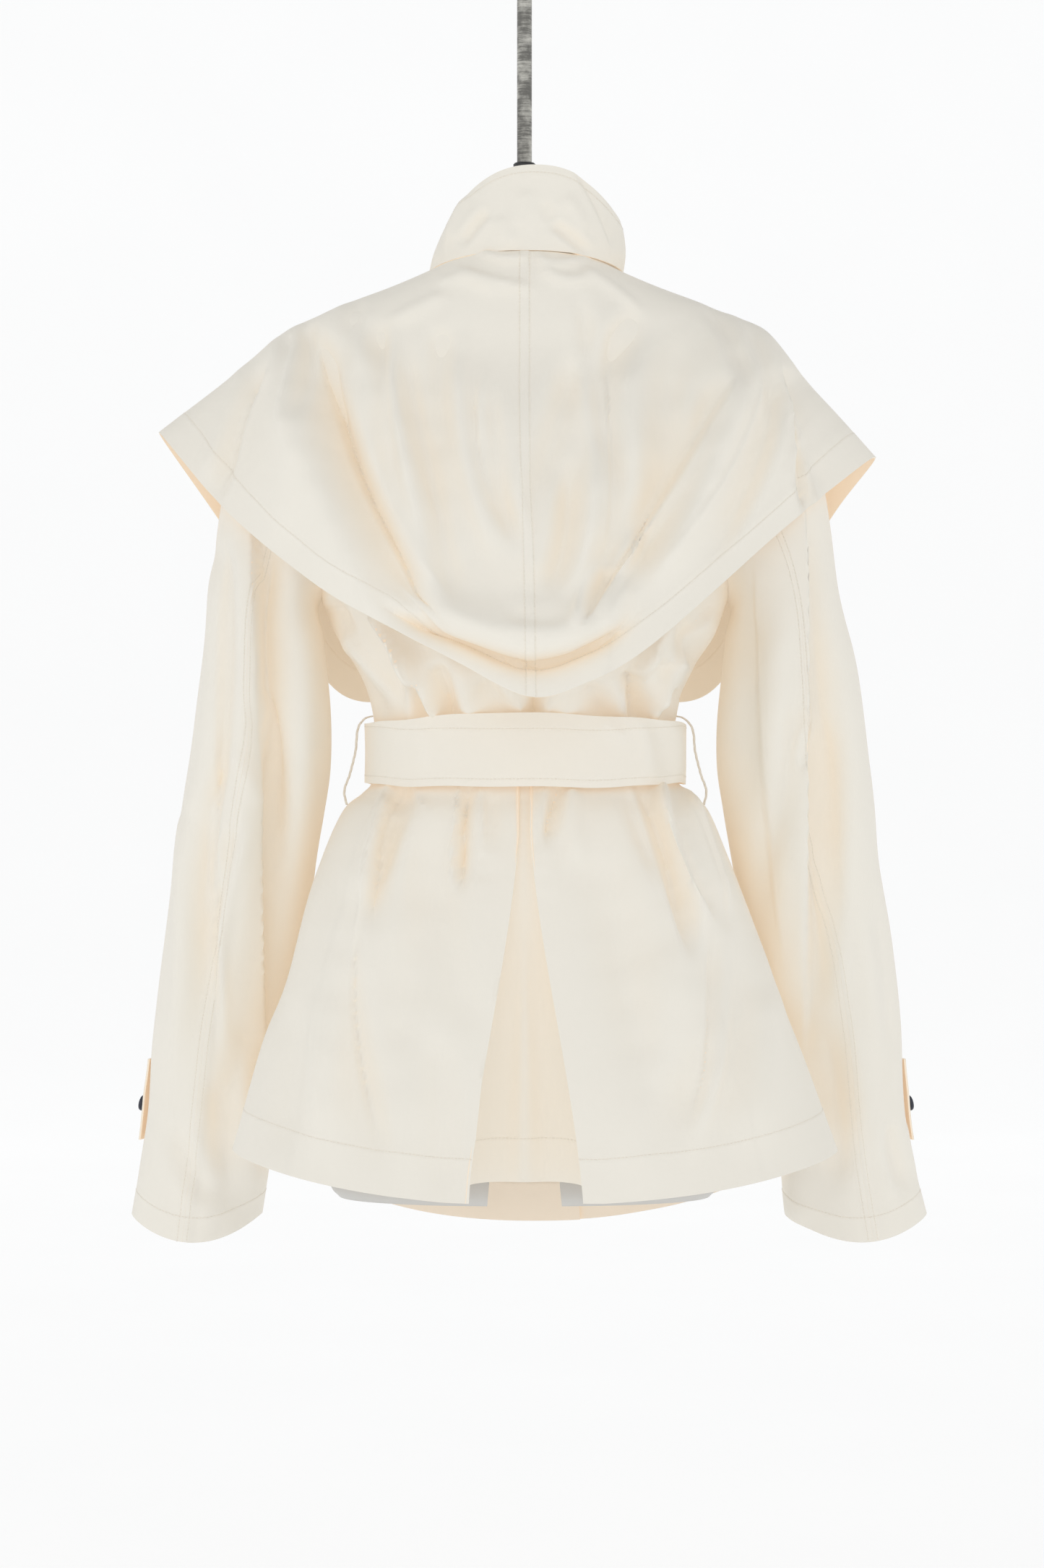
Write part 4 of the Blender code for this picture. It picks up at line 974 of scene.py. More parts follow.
def shellObject(name, outer, normals, thickness, seam, material):
    # Thin closed wall under a grid, with distances to the nearest stitch line
    rows, columns = outer.shape[:2]
    inner = outer - normals * np.asarray(thickness)[..., None]
    size = rows * columns
    corner = np.arange(size).reshape(rows, columns)
    front = np.stack([
        corner[:-1, :-1], corner[:-1, 1:], corner[1:, 1:], corner[1:, :-1],
    ], axis=-1).reshape(-1, 4)
    faces = [front[:, ::-1], front + size]
    for line, turned in (
        (corner[0], False), (corner[-1], True), (corner[:, 0], True), (corner[:, -1], False),
    ):
        here, there = line[:-1], line[1:]
        rim = np.stack([here, there, there + size, here + size], axis=-1)
        faces.append(rim[:, ::-1] if turned else rim)
    vertices = np.concatenate([outer.reshape(-1, 3), inner.reshape(-1, 3)])
    shape = meshObject(name, vertices, np.concatenate(faces).tolist(), material)
    mesh = shape.data
    across = np.linalg.norm(np.diff(outer, axis=1, prepend=outer[:, :1]), axis=-1).cumsum(axis=1)
    down = np.linalg.norm(np.diff(outer, axis=0, prepend=outer[:1]), axis=-1).cumsum(axis=0)
    plane = np.stack([across, down, seam], axis=-1).reshape(-1, 3)
    layout = mesh.attributes.new("clothPlace", "FLOAT_VECTOR", "POINT")
    layout.data.foreach_set("vector", np.concatenate([plane, plane]).ravel())
    # The inner side is marked, so that the cloth's material paints a warm shade and a glow on it
    inside = mesh.attributes.new("clothInside", "FLOAT", "POINT")
    inside.data.foreach_set("value", np.repeat([0.0, 1.0], size))
    mesh.set_sharp_from_angle(angle=math.radians(60))
    return shape


def evenLine(points, spacing):
    # Places and normals at even steps along a line
    lengths = np.append(0.0, np.linalg.norm(np.diff(points[:, :3], axis=0), axis=1).cumsum())
    places = np.arange(spacing / 2, lengths[-1], spacing)
    columns = [np.interp(places, lengths, points[:, axis]) for axis in range(points.shape[1])]
    return np.stack(columns, axis=-1)


def stitchMesh(lines, pitch, length, radius):
    # Short thread dashes along lines given as rows of place and normal
    vertices = []
    faces = []
    count = 0
    dash = np.array(ringFaces(4, 4) + [(3, 2, 1, 0), (12, 13, 14, 15)])
    for line in lines:
        even = evenLine(line, pitch)
        if len(even) < 3:
            continue
        place, normal = even[:, :3], even[:, 3:]
        normal = normal / np.linalg.norm(normal, axis=1, keepdims=True)
        ahead = np.gradient(place, axis=0)
        ahead = ahead / np.linalg.norm(ahead, axis=1, keepdims=True)
        side = np.cross(ahead, normal)
        rings = []
        # Four rings: the dash dives into the cloth at both ends
        for at, up in ((-0.5, -0.4), (-0.28, 0.55), (0.28, 0.55), (0.5, -0.4)):
            centre = place + ahead * at * length + normal * up * radius
            ring = [centre + radius * (side * a + normal * b)
                    for a, b in ((1, 0), (0, 1), (-1, 0), (0, -1))]
            rings.append(np.stack(ring, axis=1))
        vertices.append(np.stack(rings, axis=1).reshape(-1, 3))
        starts = count + 16 * np.arange(len(place))
        faces.append((starts[:, None, None] + dash[None]).reshape(-1, 4))
        count += 16 * len(place)
    return np.concatenate(vertices), np.concatenate(faces).tolist()


# Metres: the cloth, what a turned edge adds to it, and a distance that is far from any seam
clothThickness = 0.8 * mm
hemTurn = 0.6 * mm
hemLift = 0.2 * mm
beltTurn = 0.8 * mm
farFromSeam = 0.05


class Cloth:
    # One piece of cloth as a grid of places, normals and distances from its edges

    def __init__(self, surface, u, vSpan, rows, edgeDistances, base=None):
        # base is the surface whose normals the folds follow, one for all pieces that meet
        u, v, self.fromHem = fineRows(surface, u, vSpan, rows, edgeDistances)
        self.places = surface(u, v)
        self.outward = surfaceNormal(base or surface, u, v)
        self.seam = np.full(self.places.shape[:2], farFromSeam)
        self.thickness = np.full(self.places.shape[:2], clothThickness)
        self.settle()

    def raiseBy(self, height):
        self.places = self.places + self.outward * height[..., None]

    def settle(self):
        self.normals = gridNormals(self.places)

    def waveBy(self, height, size, seed, calm=1.0):
        self.raiseBy(ripple(self.places, height, size, seed) * calm)
        self.settle()

    def fromTop(self):
        # Length down each column from its upper edge
        return self.fromHem[:1] - self.fromHem

    def foldsHeight(self, folds, edges=(), facing=1.0, mirrored=False):
        # facing is 1 for folds on the back only, -1 for the front only
        x = self.places[..., 0] * (-1 if mirrored else 1)
        z = self.places[..., 2]
        height = foldField(folds, x, z) + edgeField(edges, x, z)
        return height * smoothStep(-0.1, 0.3, self.outward[..., 1] * facing)

    def addFolds(self, *tables, **options):
        self.raiseBy(self.foldsHeight(*tables, **options))
        self.settle()

    def near(self, distance):
        # Keeps the distance to the nearest stitch line
        self.seam = np.minimum(self.seam, np.abs(distance))

    def rowLine(self, distance):
        # Places and normals along a line at a constant distance from the edge
        line = np.empty((self.places.shape[1], 6))
        order = 1 if self.fromHem[0, 0] < self.fromHem[-1, 0] else -1
        for column in range(len(line)):
            source = np.concatenate([self.places[:, column], self.normals[:, column]], axis=1)
            known = self.fromHem[::order, column]
            line[column] = [np.interp(distance, known, source[::order, axis]) for axis in range(6)]
        self.near(self.fromHem - distance)
        return line

    def columnLine(self, column, offset, rowsFrom=0):
        # Places and normals beside one column, at a constant distance from it
        lengths = np.linalg.norm(np.diff(self.places, axis=1), axis=-1)
        lengths = np.concatenate([np.zeros((len(lengths), 1)), lengths.cumsum(axis=1)], axis=1)
        lengths = lengths - lengths[:, column:column + 1]
        self.near(lengths - offset)
        line = np.empty((len(self.places), 6))
        for row in range(len(line)):
            source = np.concatenate([self.places[row], self.normals[row]], axis=1)
            line[row] = [np.interp(offset, lengths[row], source[:, axis]) for axis in range(6)]
        return line[rowsFrom:]

    def lastColumn(self):
        return self.places.shape[1] - 1

    def frontLines(self, side, hem, fromEdge):
        # The hem's stitches and those beside the front's edge
        column, offset = (0, fromEdge) if side == "left" else (self.lastColumn(), -fromEdge)
        return [self.rowLine(hem), self.columnLine(column, offset)]

    def build(self, name, material):
        self.settle()
        return shellObject(name, self.places, self.normals, self.thickness, self.seam, material)


# Materials

class Value:
    # A socket; arithmetic with it adds Math nodes

    def __init__(self, graph, socket):
        self.graph = graph
        self.socket = socket

    def math(self, operation, *others):
        return self.graph.add("ShaderNodeMath", {"operation": operation}, self, *others)

    def __add__(self, other):
        return self.math("ADD", other)

    def __radd__(self, other):
        return self.math("ADD", other)

    def __sub__(self, other):
        return self.math("SUBTRACT", other)

    def __rsub__(self, other):
        return self.graph.add("ShaderNodeMath", {"operation": "SUBTRACT"}, other, self)

    def __mul__(self, other):
        return self.math("MULTIPLY", other)

    def __rmul__(self, other):
        return self.math("MULTIPLY", other)

    def __truediv__(self, other):
        return self.math("DIVIDE", other)

    def of(self, name):
        # Another output of the same node
        return Value(self.graph, self.socket.node.outputs[name])


class Graph:
    # The nodes of one material

    def __init__(self, name):
        self.material = bpy.data.materials.new(name)
        self.material.use_nodes = True
        self.tree = self.material.node_tree
        self.shader = self.tree.nodes["Principled BSDF"]

    def put(self, socket, value):
        if isinstance(value, Value):
            self.tree.links.new(value.socket, socket)
        else:
            socket.default_value = value

    def add(self, kind, settings, *values, **named):
        node = self.tree.nodes.new(kind)
        for key, value in settings.items():
            setattr(node, key, value)
        for socket, value in zip(node.inputs, values):
            self.put(socket, value)
        for key, value in named.items():
            self.put(node.inputs[key], value)
        return Value(self, next(socket for socket in node.outputs if socket.enabled))

    def place(self):
        return self.add("ShaderNodeTexCoord", {}).of("Object")

    def attribute(self, name, output):
        return self.add("ShaderNodeAttribute", {"attribute_name": name}).of(output)

    def noise(self, place, scale, detail=3.0, roughness=0.55):
        return self.add(
            "ShaderNodeTexNoise", {}, Vector=place, Scale=scale, Detail=detail, Roughness=roughness
        )

    def blend(self, share, first, second):
        # Mix of two colours
        node = self.tree.nodes.new("ShaderNodeMix")
        node.data_type = "RGBA"
        self.put(node.inputs[0], share)
        self.put(node.inputs[6], first)
        self.put(node.inputs[7], second)
        return Value(self, node.outputs[2])

    def bump(self, height, strength=1.0):
        return self.add("ShaderNodeBump", {}, Strength=strength, Distance=1.0, Height=height)

    def set(self, **values):
        for key, value in values.items():
            self.put(self.shader.inputs[key.replace("_", " ")], value)
        return self.material


# Colours are linear; sizes of noise are in waves per metre
clothLook = {
    "colour": (0.878, 0.845, 0.768, 1.0),
    "shaded": (0.865, 0.825, 0.735, 1.0),
    # The next six entries paint light and shade: a warm colour tinted into the base colour in hollows
    # and on the inner side, a glow emitted there, and how far a hollow reaches
    "glow": (0.90, 0.72, 0.54, 1.0),
    "paintedShadeShare": 0.55,
    "paintedInsideShare": 0.6,
    "through": (0.145, 0.137, 0.115, 1.0),
    "throughShare": 0.9,
    "paintedShadeReach": 55 * mm,
    "roughness": 0.86,
    "threadPitch": 0.55 * mm,
    "weaveHeight": 0.02 * mm,
    "creaseHeight": 0.7 * mm,
    "creaseSize": 46.0,
    "grooveHeight": 0.22 * mm,
    "grooveWidth": 1.0 * mm,
    "puckerHeight": 0.5 * mm,
    "puckerWidth": 6.0 * mm,
    "puckerSize": 150.0,
    "slubShare": 1.5,
    "slubSize": 900.0,
    "shadedShare": 0.55,
    "shadedSize": 9.0,
}
threadLook = {"dark": (0.80, 0.75, 0.66, 1.0), "pale": (0.88, 0.84, 0.77, 1.0), "twist": 1200.0}
steelLook = {
    "worn": (0.15, 0.147, 0.135, 1.0), "bright": (0.62, 0.61, 0.56, 1.0), "metallic": 0.55,
    "rings": (60.0, 60.0, 800.0), "patches": 70.0, "relief": 0.06 * mm,
}


def makeClothMaterial(name, look):
    graph = Graph(name)
    layout = graph.attribute("clothPlace", "Vector")
    parts = graph.add("ShaderNodeSeparateXYZ", {}, layout)
    across, down, seam = parts, parts.of("Y"), parts.of("Z")
    place = graph.place()
    turns = 2 * math.pi / look["threadPitch"]
    warp = (across * turns).math("SINE")
    weft = (down * turns).math("SINE")
    weave = warp * weft * look["weaveHeight"]
    slub = graph.noise(place, look["slubSize"], 2.0) * look["weaveHeight"] * look["slubShare"]
    crease = graph.noise(place, look["creaseSize"], 4.0, 0.5) * look["creaseHeight"]
    nearLine = seam / look["grooveWidth"]
    groove = (nearLine * nearLine * -1.0).math("EXPONENT") * look["grooveHeight"]
    nearPucker = seam / look["puckerWidth"]
    pucker = (nearPucker * nearPucker * -1.0).math("EXPONENT")
    pucker = pucker * graph.noise(place, look["puckerSize"], 2.0) * look["puckerHeight"]
    height = weave + slub + crease + pucker - groove
    uneven = graph.noise(place, look["shadedSize"], 3.0)
    colour = graph.blend(uneven * look["shadedShare"], look["colour"], look["shaded"])
    # Painted light and shade: the base colour is tinted warm in hollows, found by ambient occlusion,
    # and on the cloth's inner side, and a painted glow is emitted there; both stand in for light that
    # comes through the cloth
    hollow = graph.add(
        "ShaderNodeAmbientOcclusion", {"samples": 6}, Distance=look["paintedShadeReach"]
    ).of("AO")
    inside = graph.attribute("clothInside", "Fac")
    share = (1.0 - hollow) * look["paintedShadeShare"] + inside * look["paintedInsideShare"]
    through = (1.0 - hollow) * look["throughShare"] + inside * look["paintedInsideShare"]
    # Painted warm shade in the base colour, and a painted glow emitted from the same hollows and the
    # inner side
    colour = graph.blend(share, colour, look["glow"])
    material = graph.set(
        Base_Color=colour, Roughness=look["roughness"], Normal=graph.bump(height),
        Emission_Color=graph.blend(through, (0.0, 0.0, 0.0, 1.0), look["through"]),
        Emission_Strength=1.0,
        Sheen_Weight=0.15, Sheen_Roughness=0.4, Specular_IOR_Level=0.25,
    )
    material.cycles.emission_sampling = "NONE"
    return material


def makeThreadMaterial(look):
    graph = Graph("sewing_thread")
    twist = graph.noise(graph.place(), look["twist"], 1.0)
    return graph.set(Base_Color=graph.blend(twist, look["dark"], look["pale"]), Roughness=0.7)


def makeSteelMaterial(look):
    graph = Graph("worn_steel")
    place = graph.place()
    rings = graph.add("ShaderNodeMapping", {}, Vector=place, Scale=look["rings"])
    scratches = graph.noise(rings, 1.0, 6.0, 0.7)
    patches = graph.noise(place, look["patches"], 4.0, 0.6)
    worn = (patches - 0.38) * 2.4 + (scratches - 0.5) * 2.2
    return graph.set(
        Base_Color=graph.blend(worn, look["worn"], look["bright"]),
        Metallic=look["metallic"], Roughness=0.3 + 0.3 * scratches,
        Normal=graph.bump(scratches * look["relief"]),
    )


def makePaintMaterial(name, colour, roughness, size, height):
    graph = Graph(name)
    spots = graph.noise(graph.place(), size, 4.0)
    darker = tuple(0.9 * part for part in colour) + (1.0,)
    return graph.set(
        Base_Color=graph.blend(spots * 0.5, (*colour, 1.0), darker),
        Roughness=roughness + 0.15 * spots, Normal=graph.bump(spots * height),
    )


clothMaterial = makeClothMaterial("cream_cotton", clothLook)
threadMaterial = makeThreadMaterial(threadLook)
steelMaterial = makeSteelMaterial(steelLook)
capMaterial = makePaintMaterial("black_cap", (0.02, 0.02, 0.022), 0.35, 300.0, 0.1 * mm)
formMaterial = makePaintMaterial("white_form", (0.62, 0.61, 0.58), 0.5, 90.0, 0.15 * mm)
buttonMaterial = makePaintMaterial("dark_button", (0.025, 0.028, 0.045), 0.25, 500.0, 0.05 * mm)

# Sewing

sewing = {"pitch": 3.0 * mm, "length": 2.3 * mm, "radius": 0.22 * mm}


def finishPiece(node, cloth, lines, flat, area, shape=None):
    # Ties a piece to its solid, with its stitches as a piece of their own on it
    name = node + "_cloth"
    shape = shape or cloth.build(name, clothMaterial)
    carry(shape, node)
    if lines:
        vertices, faces = stitchMesh(lines, sewing["pitch"], sewing["length"], sewing["radius"])
        stitches = meshObject(name + "_stitches", vertices, faces, threadMaterial)
        carry(stitches)


def spread(low, high, step):
    # Even column angles in degrees, about one step apart
    return np.linspace(low, high, int(round((high - low) / step)) + 1)


def hemRows(hem):
    # Distances from the edge: close rows at the hem's stitch line and at the edge
    near = [hem + step * mm for step in (6, 3, 1, 0, -1, -3)]
    return (*near, *(share * hem for share in (0.78, 0.62, 0.46, 0.3, 0.16)), 1.2 * mm, 0.0)


def edgeRows(edge, step):
    # The same for a turned edge without a hem
    return (edge + step, edge, edge - step, 3 * mm, 1 * mm, 0.0)


def thickenHem(cloth, hem):
    # The hem is folded up, so it is twice as thick and stands out a little
    inHem = 1 - smoothStep(hem - 0.5 * mm, hem + 0.5 * mm, cloth.fromHem)
    cloth.thickness = cloth.thickness + hemTurn * inHem
    cloth.raiseBy(hemLift * inHem)
    cloth.settle()


# Bodice

bodiceCloth = {
    "columnStep": 1.4, "rows": 104, "span": (3.0, 14.0), "edgeStep": 3 * mm,
    "ripple": 0.5 * mm, "rippleSize": 70 * mm, "rippleSeed": 3,
}
bodiceSheets = (
    ("bodice_back", (sideSeam, 180.0 - sideSeam), (0.50, 0.44), 0.8, ("left", "right")),
    ("bodice_front_left", (-90.0 - bodiceOverlap, -sideSeam), (0.28, 0.43), 0.82, ("left",)),
    ("bodice_front_right", (180.0 + sideSeam, 270.0 + bodiceOverlap), (0.28, 0.43), 0.82,
     ("right",)),
)


def makeBodice():
    print("bodice", flush=True)
    look = bodiceCloth
    surface = withFolds(bodicePoint, bodiceFolds)
    edges = np.arange(4, -1, -1) * look["edgeStep"]
    for node, span, flat, area, sides in bodiceSheets:
        shape = overFront(surface) if node == "bodice_front_right" else surface
        cloth = Cloth(shape, np.radians(spread(*span, look["columnStep"])), look["span"],
                      look["rows"], edges, base=bodicePoint)
        cloth.waveBy(look["ripple"], look["rippleSize"], look["rippleSeed"])
        cloth.addFolds(bodiceLook, bodiceEdges)
        cloth.addFolds(bodiceFrontLook, facing=-1.0)
        piece = cloth.build(node + "_cloth", clothMaterial)
        cutArmholes(piece, sides)
        finishPiece(node, cloth, [], flat, area, piece)


def cutArmholes(shape, sides):
    # The bodice is open where the sleeves are set in
    around = np.arange(48) * math.pi / 24
    steps = np.linspace(0.0, 1.0, 12)
    for side in sides:
        surface = sleevePoint(1.0 if side == "right" else 0.0, -seamGap)
        gridAround, gridSteps = np.meshgrid(around, steps)
        rings = surface(gridAround, gridSteps)
        rings[1:] += surfaceNormal(surface, gridAround, gridSteps)[1:] * seamGap
        rings[0] += (rings[1] - rings[1].mean(axis=0)) * armholeGrowth
        deep = armholePoint(around, -armholeCutDepth)[None]
        rings = np.concatenate([deep, rings])
        if side == "right":
            rings = rings[:, ::-1] * np.array([-1.0, 1.0, 1.0])
        vertices = np.concatenate([rings.reshape(-1, 3), rings[[0, -1]].mean(axis=1)])
        faces = ringFaces(*rings.shape[:2], capped=True)
        cutAway(shape, meshObject("armhole", vertices, faces, smooth=False))


# Skirt

# waistCalm: no deep crease this close to the waist seam, because the form lies under it
skirtCloth = {
    "columnStep": 0.9, "rows": 100, "span": (0.0, 7.0), "hem": 34 * mm,
    "ripple": 0.8 * mm, "rippleSize": 90 * mm, "rippleSeed": 5,
    "besidePleat": (1.2, 0.01), "inPleat": 0.999, "pleatColumns": 56,
    "waistCalm": (8 * mm, 50 * mm), "frontSeam": 8 * mm,
    "underlayRidge": 7 * mm, "underlayWidth": 0.11, "underlayRange": (-0.76, -0.92),
}


def makeSkirt():
    print("skirt", flush=True)
    look = skirtCloth
    hem = look["hem"]
    zone = math.degrees(pleatZone)
    far, close = look["besidePleat"]
    side = np.append(spread(0.0, 90.0 - far - zone, look["columnStep"]), 90.0 - close - zone)
    pleat = 90.0 + zone * np.linspace(-look["inPleat"], look["inPleat"], look["pleatColumns"])
    columns = np.concatenate([side, pleat, 180.0 - side[::-1]])
    columns[0] += sideSeam
    columns[-1] -= sideSeam
    back = Cloth(skirtBackPoint, np.radians(columns), look["span"], look["rows"], hemRows(hem))
    back.waveBy(look["ripple"], look["rippleSize"], look["rippleSeed"])
    height = back.foldsHeight(skirtLook, skirtEdges)
    height = np.where(height < 0, height * smoothStep(*look["waistCalm"], back.fromTop()), height)
    outside = np.where(np.abs(columns - 90.0) < zone, 0.0, 1.0)
    back.raiseBy(height * outside + pleatUnderlay(back, columns))
    thickenHem(back, hem)
    finishPiece("skirt_back", back, [back.rowLine(hem)], (0.70, 0.37), 0.76)
    for name, span in (
        ("left", (-90.0 - skirtOverlap, -sideSeam)),
        ("right", (180.0 + sideSeam, 270.0 + skirtOverlap)),
    ):
        surface = withFolds(skirtPoint, skirtFrontFolds, mirrored=name == "right")
        if name == "right":
            surface = overFront(surface)
        front = Cloth(surface, np.radians(spread(*span, look["columnStep"])), look["span"],
                      look["rows"], hemRows(hem), base=skirtPoint)
        front.waveBy(look["ripple"], look["rippleSize"], look["rippleSeed"])
        front.addFolds(skirtLook, skirtEdges)
        front.addFolds(skirtFrontLook, facing=-1.0)
        thickenHem(front, hem)
        lines = front.frontLines(name, hem, look["frontSeam"])
        finishPiece("skirt_front_" + name, front, lines, (0.34, 0.41), 0.82)


def pleatUnderlay(cloth, columns):
    # A soft ridge down the middle of the pleat's underlay
    look = skirtCloth
    across = (columns - 90.0) / math.degrees(pleatZone)
    opened = smoothStep(*look["underlayRange"], cloth.places[..., 2])
    return look["underlayRidge"] * bell(across, look["underlayWidth"]) * opened


# Sleeves

sleeveCloth = {
    "columnStep": 2.5, "rows": 145, "span": (0.0, 9.0), "hem": 22 * mm,
    "ripple": 0.6 * mm, "rippleSize": 80 * mm, "rippleSeed": 8, "calm": (0.02, 0.10),
    "seam": 4 * mm, "seamFrom": 10, "seamGap": 0.03,
}


def makeSleeves():
    print("sleeves", flush=True)
    look = sleeveCloth
    ends = sleeveSeamAt - look["seamGap"]
    starts = sleeveSeamAt + look["seamGap"]
    pieces = (
        ("outer", spread(-ends, ends, look["columnStep"]), (0.25, 0.77), 0.66),
        ("under", spread(starts, 360.0 - starts, look["columnStep"]), (0.30, 0.70), 0.62),
    )
    for name, extraScale, folds, edges in (
        ("left", 0.0, leftSleeveLook, leftSleeveEdges),
        ("right", 1.0, rightSleeveLook, rightSleeveEdges),
    ):
        mirrored = name == "right"
        surface = withFolds(
            sleevePoint(extraScale, -seamGap), sleeveFolds, calmTo=1.0, sideCalm=None
        )
        if mirrored:
            surface = mirrorX(surface)
        for piece, degrees, flat, area in pieces:
            columns = np.radians(degrees)
            if mirrored:
                columns = math.pi - columns[::-1]
            sleeve = Cloth(surface, columns, look["span"], look["rows"], hemRows(look["hem"]))
            calm = smoothStep(*look["calm"], sleeve.fromTop())
            sleeve.waveBy(look["ripple"], look["rippleSize"], look["rippleSeed"], calm)
            sleeve.addFolds(folds, edges)
            sleeve.addFolds(sleeveFrontLook, facing=-1.0, mirrored=mirrored)
            thickenHem(sleeve, look["hem"])
            lines = [sleeve.rowLine(look["hem"])]
            for column, offset in ((0, look["seam"]), (sleeve.lastColumn(), -look["seam"])):
                lines.append(sleeve.columnLine(column, offset, look["seamFrom"]))
            finishPiece("sleeve_" + name + "_" + piece, sleeve, lines, flat,
                        area)


# Collar and belt

bandCloth = {
    "edge": 6 * mm, "rows": 26, "collarStep": 1.8, "collarEdgeStep": 0.8 * mm,
    "beltStep": 1.25, "beltEdgeStep": 1 * mm, "wave": 0.7 * mm,
}


def makeCollar():
    print("collar", flush=True)
    look = bandCloth
    edge = look["edge"]
    columns = np.radians(spread(collarOpening - 90.0, 270.0 - collarOpening, look["collarStep"]))
    distances = (edge + 2 * mm, *edgeRows(edge, look["collarEdgeStep"]))
    collar = Cloth(collarPoint, columns, (0.0, 3.0), look["rows"], distances)
    # Columns and rows keep the same turning sense as on the body
    collar.places = collar.places[::-1]
    collar.outward = -collar.outward[::-1]
    collar.fromHem = collar.fromHem[::-1]
    collar.settle()
    collar.addFolds(collarLook, collarEdges)
    collar.thickness = collar.thickness + hemTurn
    ends = [collar.columnLine(0, edge), collar.columnLine(collar.lastColumn(), -edge)]
    finishPiece("collar", collar, [collar.rowLine(edge)] + ends, (0.50, 0.062),
                0.85)


def makeBelt():
    print("belt", flush=True)
    look = bandCloth

    def wound(angle, level):
        lift = (beltThickness + seamGap) * smoothStep(*beltClimb, np.degrees(angle))
        return beltPoint(angle, level) + surfaceNormal(beltPoint, angle, level) * lift[..., None]

    edge = look["edge"]
    columns = np.radians(spread(*beltEnds, look["beltStep"]))
    belt = Cloth(wound, columns, (0.0, 2.0), look["rows"], edgeRows(edge, look["beltEdgeStep"]))
    wave = np.sin(columns * 5 + 0.8) + 0.6 * np.sin(columns * 11 + 2.0)
    belt.places[..., 2] += look["wave"] * wave
    belt.settle()
    belt.addFolds(beltLook)
    belt.thickness = belt.thickness + beltTurn
    lines = [belt.rowLine(edge), belt.rowLine(belt.fromHem[0].mean() - edge)]
    finishPiece("belt", belt, lines, (0.80, 0.056), 0.94)


# Cape

# The lip is where the hem band kicks out under the pouch, behind a narrow crease
capeCloth = {
    "columnStep": 0.75, "frontStep": 1.0, "rows": 116, "span": (0.0, 1.0), "hem": 26 * mm,
    "ripple": 0.7 * mm, "rippleSize": 90 * mm, "rippleSeed": 11, "calm": (0.05, 0.14),
    "centre": (87.4, 92.6), "centreStep": 0.2, "centreClear": 2.9,
    "lap": 7.5 * mm, "lapStep": 0.4 * mm, "lapHeight": 0.5 * mm,
    "lipCrease": 34 * mm, "lipCreaseWidth": 5 * mm, "lipDepth": 5 * mm, "lipKick": 6 * mm,
    "lipRise": (44.0, 72.0), "lipFall": (98.0, 122.0), "frontSeam": 9 * mm,
}


def capePiece(surface, degrees):
    look = capeCloth
    piece = Cloth(surface, np.radians(degrees), look["span"], look["rows"], hemRows(look["hem"]),
                  base=capePoint)
    calm = smoothStep(*look["calm"], piece.fromTop())
    piece.waveBy(look["ripple"], look["rippleSize"], look["rippleSeed"], calm)
    piece.addFolds(capeLook, capeEdges)
    return piece


def makeCape():
    print("cape", flush=True)
    look = capeCloth
    hem = look["hem"]
    columns = spread(sideSeam, 180.0 - sideSeam, look["columnStep"])
    middle = spread(*look["centre"], look["centreStep"])
    beside = columns[np.abs(columns - 90.0) > look["centreClear"]]
    columns = np.sort(np.concatenate([beside, middle]))
    cape = capePiece(withFolds(capePoint, capeFolds, calmTo=capeSeated), columns)
    kick = plateau(look["lipRise"], look["lipFall"], columns)
    crease = bell(cape.fromHem - look["lipCrease"], look["lipCreaseWidth"])
    outwards = 1 - smoothStep(0.0, look["lipCrease"], cape.fromHem)
    cape.raiseBy(kick * (look["lipKick"] * outwards - look["lipDepth"] * crease))
    # The centre-back seam is lapped and stitched down twice
    half = look["lap"] / 2
    x = cape.places[..., 0] - cape.places[:, len(columns) // 2, 0][:, None]
    lap = 1 - smoothStep(half - look["lapStep"], half + look["lapStep"], np.abs(x))
    cape.raiseBy(look["lapHeight"] * lap)
    thickenHem(cape, hem)
    centre = int(np.abs(columns - 90.0).argmin())
    lines = [cape.rowLine(hem), cape.columnLine(centre, -half), cape.columnLine(centre, half)]
    finishPiece("cape_back", cape, lines, (0.68, 0.40), 0.67)
    for name, span in (
        ("left", (capeFrontGap - 90.0, -sideSeam)),
        ("right", (180.0 + sideSeam, 270.0 - capeFrontGap)),
    ):
        mirrored = name == "right"
        surface = withFolds(capePoint, capeFrontFolds, mirrored=mirrored, calmTo=capeSeated)
        front = capePiece(surface, spread(*span, look["frontStep"]))
        front.addFolds(capeFrontLook, facing=-1.0, mirrored=mirrored)
        thickenHem(front, hem)
        lines = front.frontLines(name, hem, look["frontSeam"])
        finishPiece("cape_front_" + name, front, lines, (0.34, 0.40),
                    0.67)


# Thread loops, tabs and buttons

loopLook = {"points": 90, "strands": 3, "turns": 26, "layRadius": 0.5 * mm, "radius": 0.55 * mm}
tabCloth = {"columns": 15, "rows": 30, "edge": 3 * mm, "edgeStep": 1 * mm, "standFrom": 0.3}
# The button's section as shares of its radius and its thickness, from its back to its face
buttonLook = {
    "section": (
        (0.0, 0.02), (0.75, 0.0), (0.95, 0.12), (1.0, 0.4), (1.0, 0.72), (0.94, 0.95),
        (0.84, 1.0), (0.74, 0.94), (0.62, 0.68), (0.4, 0.6), (0.0, 0.58),
    ),
    "sides": 40, "threadAt": 0.74, "threadReach": 0.24, "threadRadius": 0.35 * mm,
}


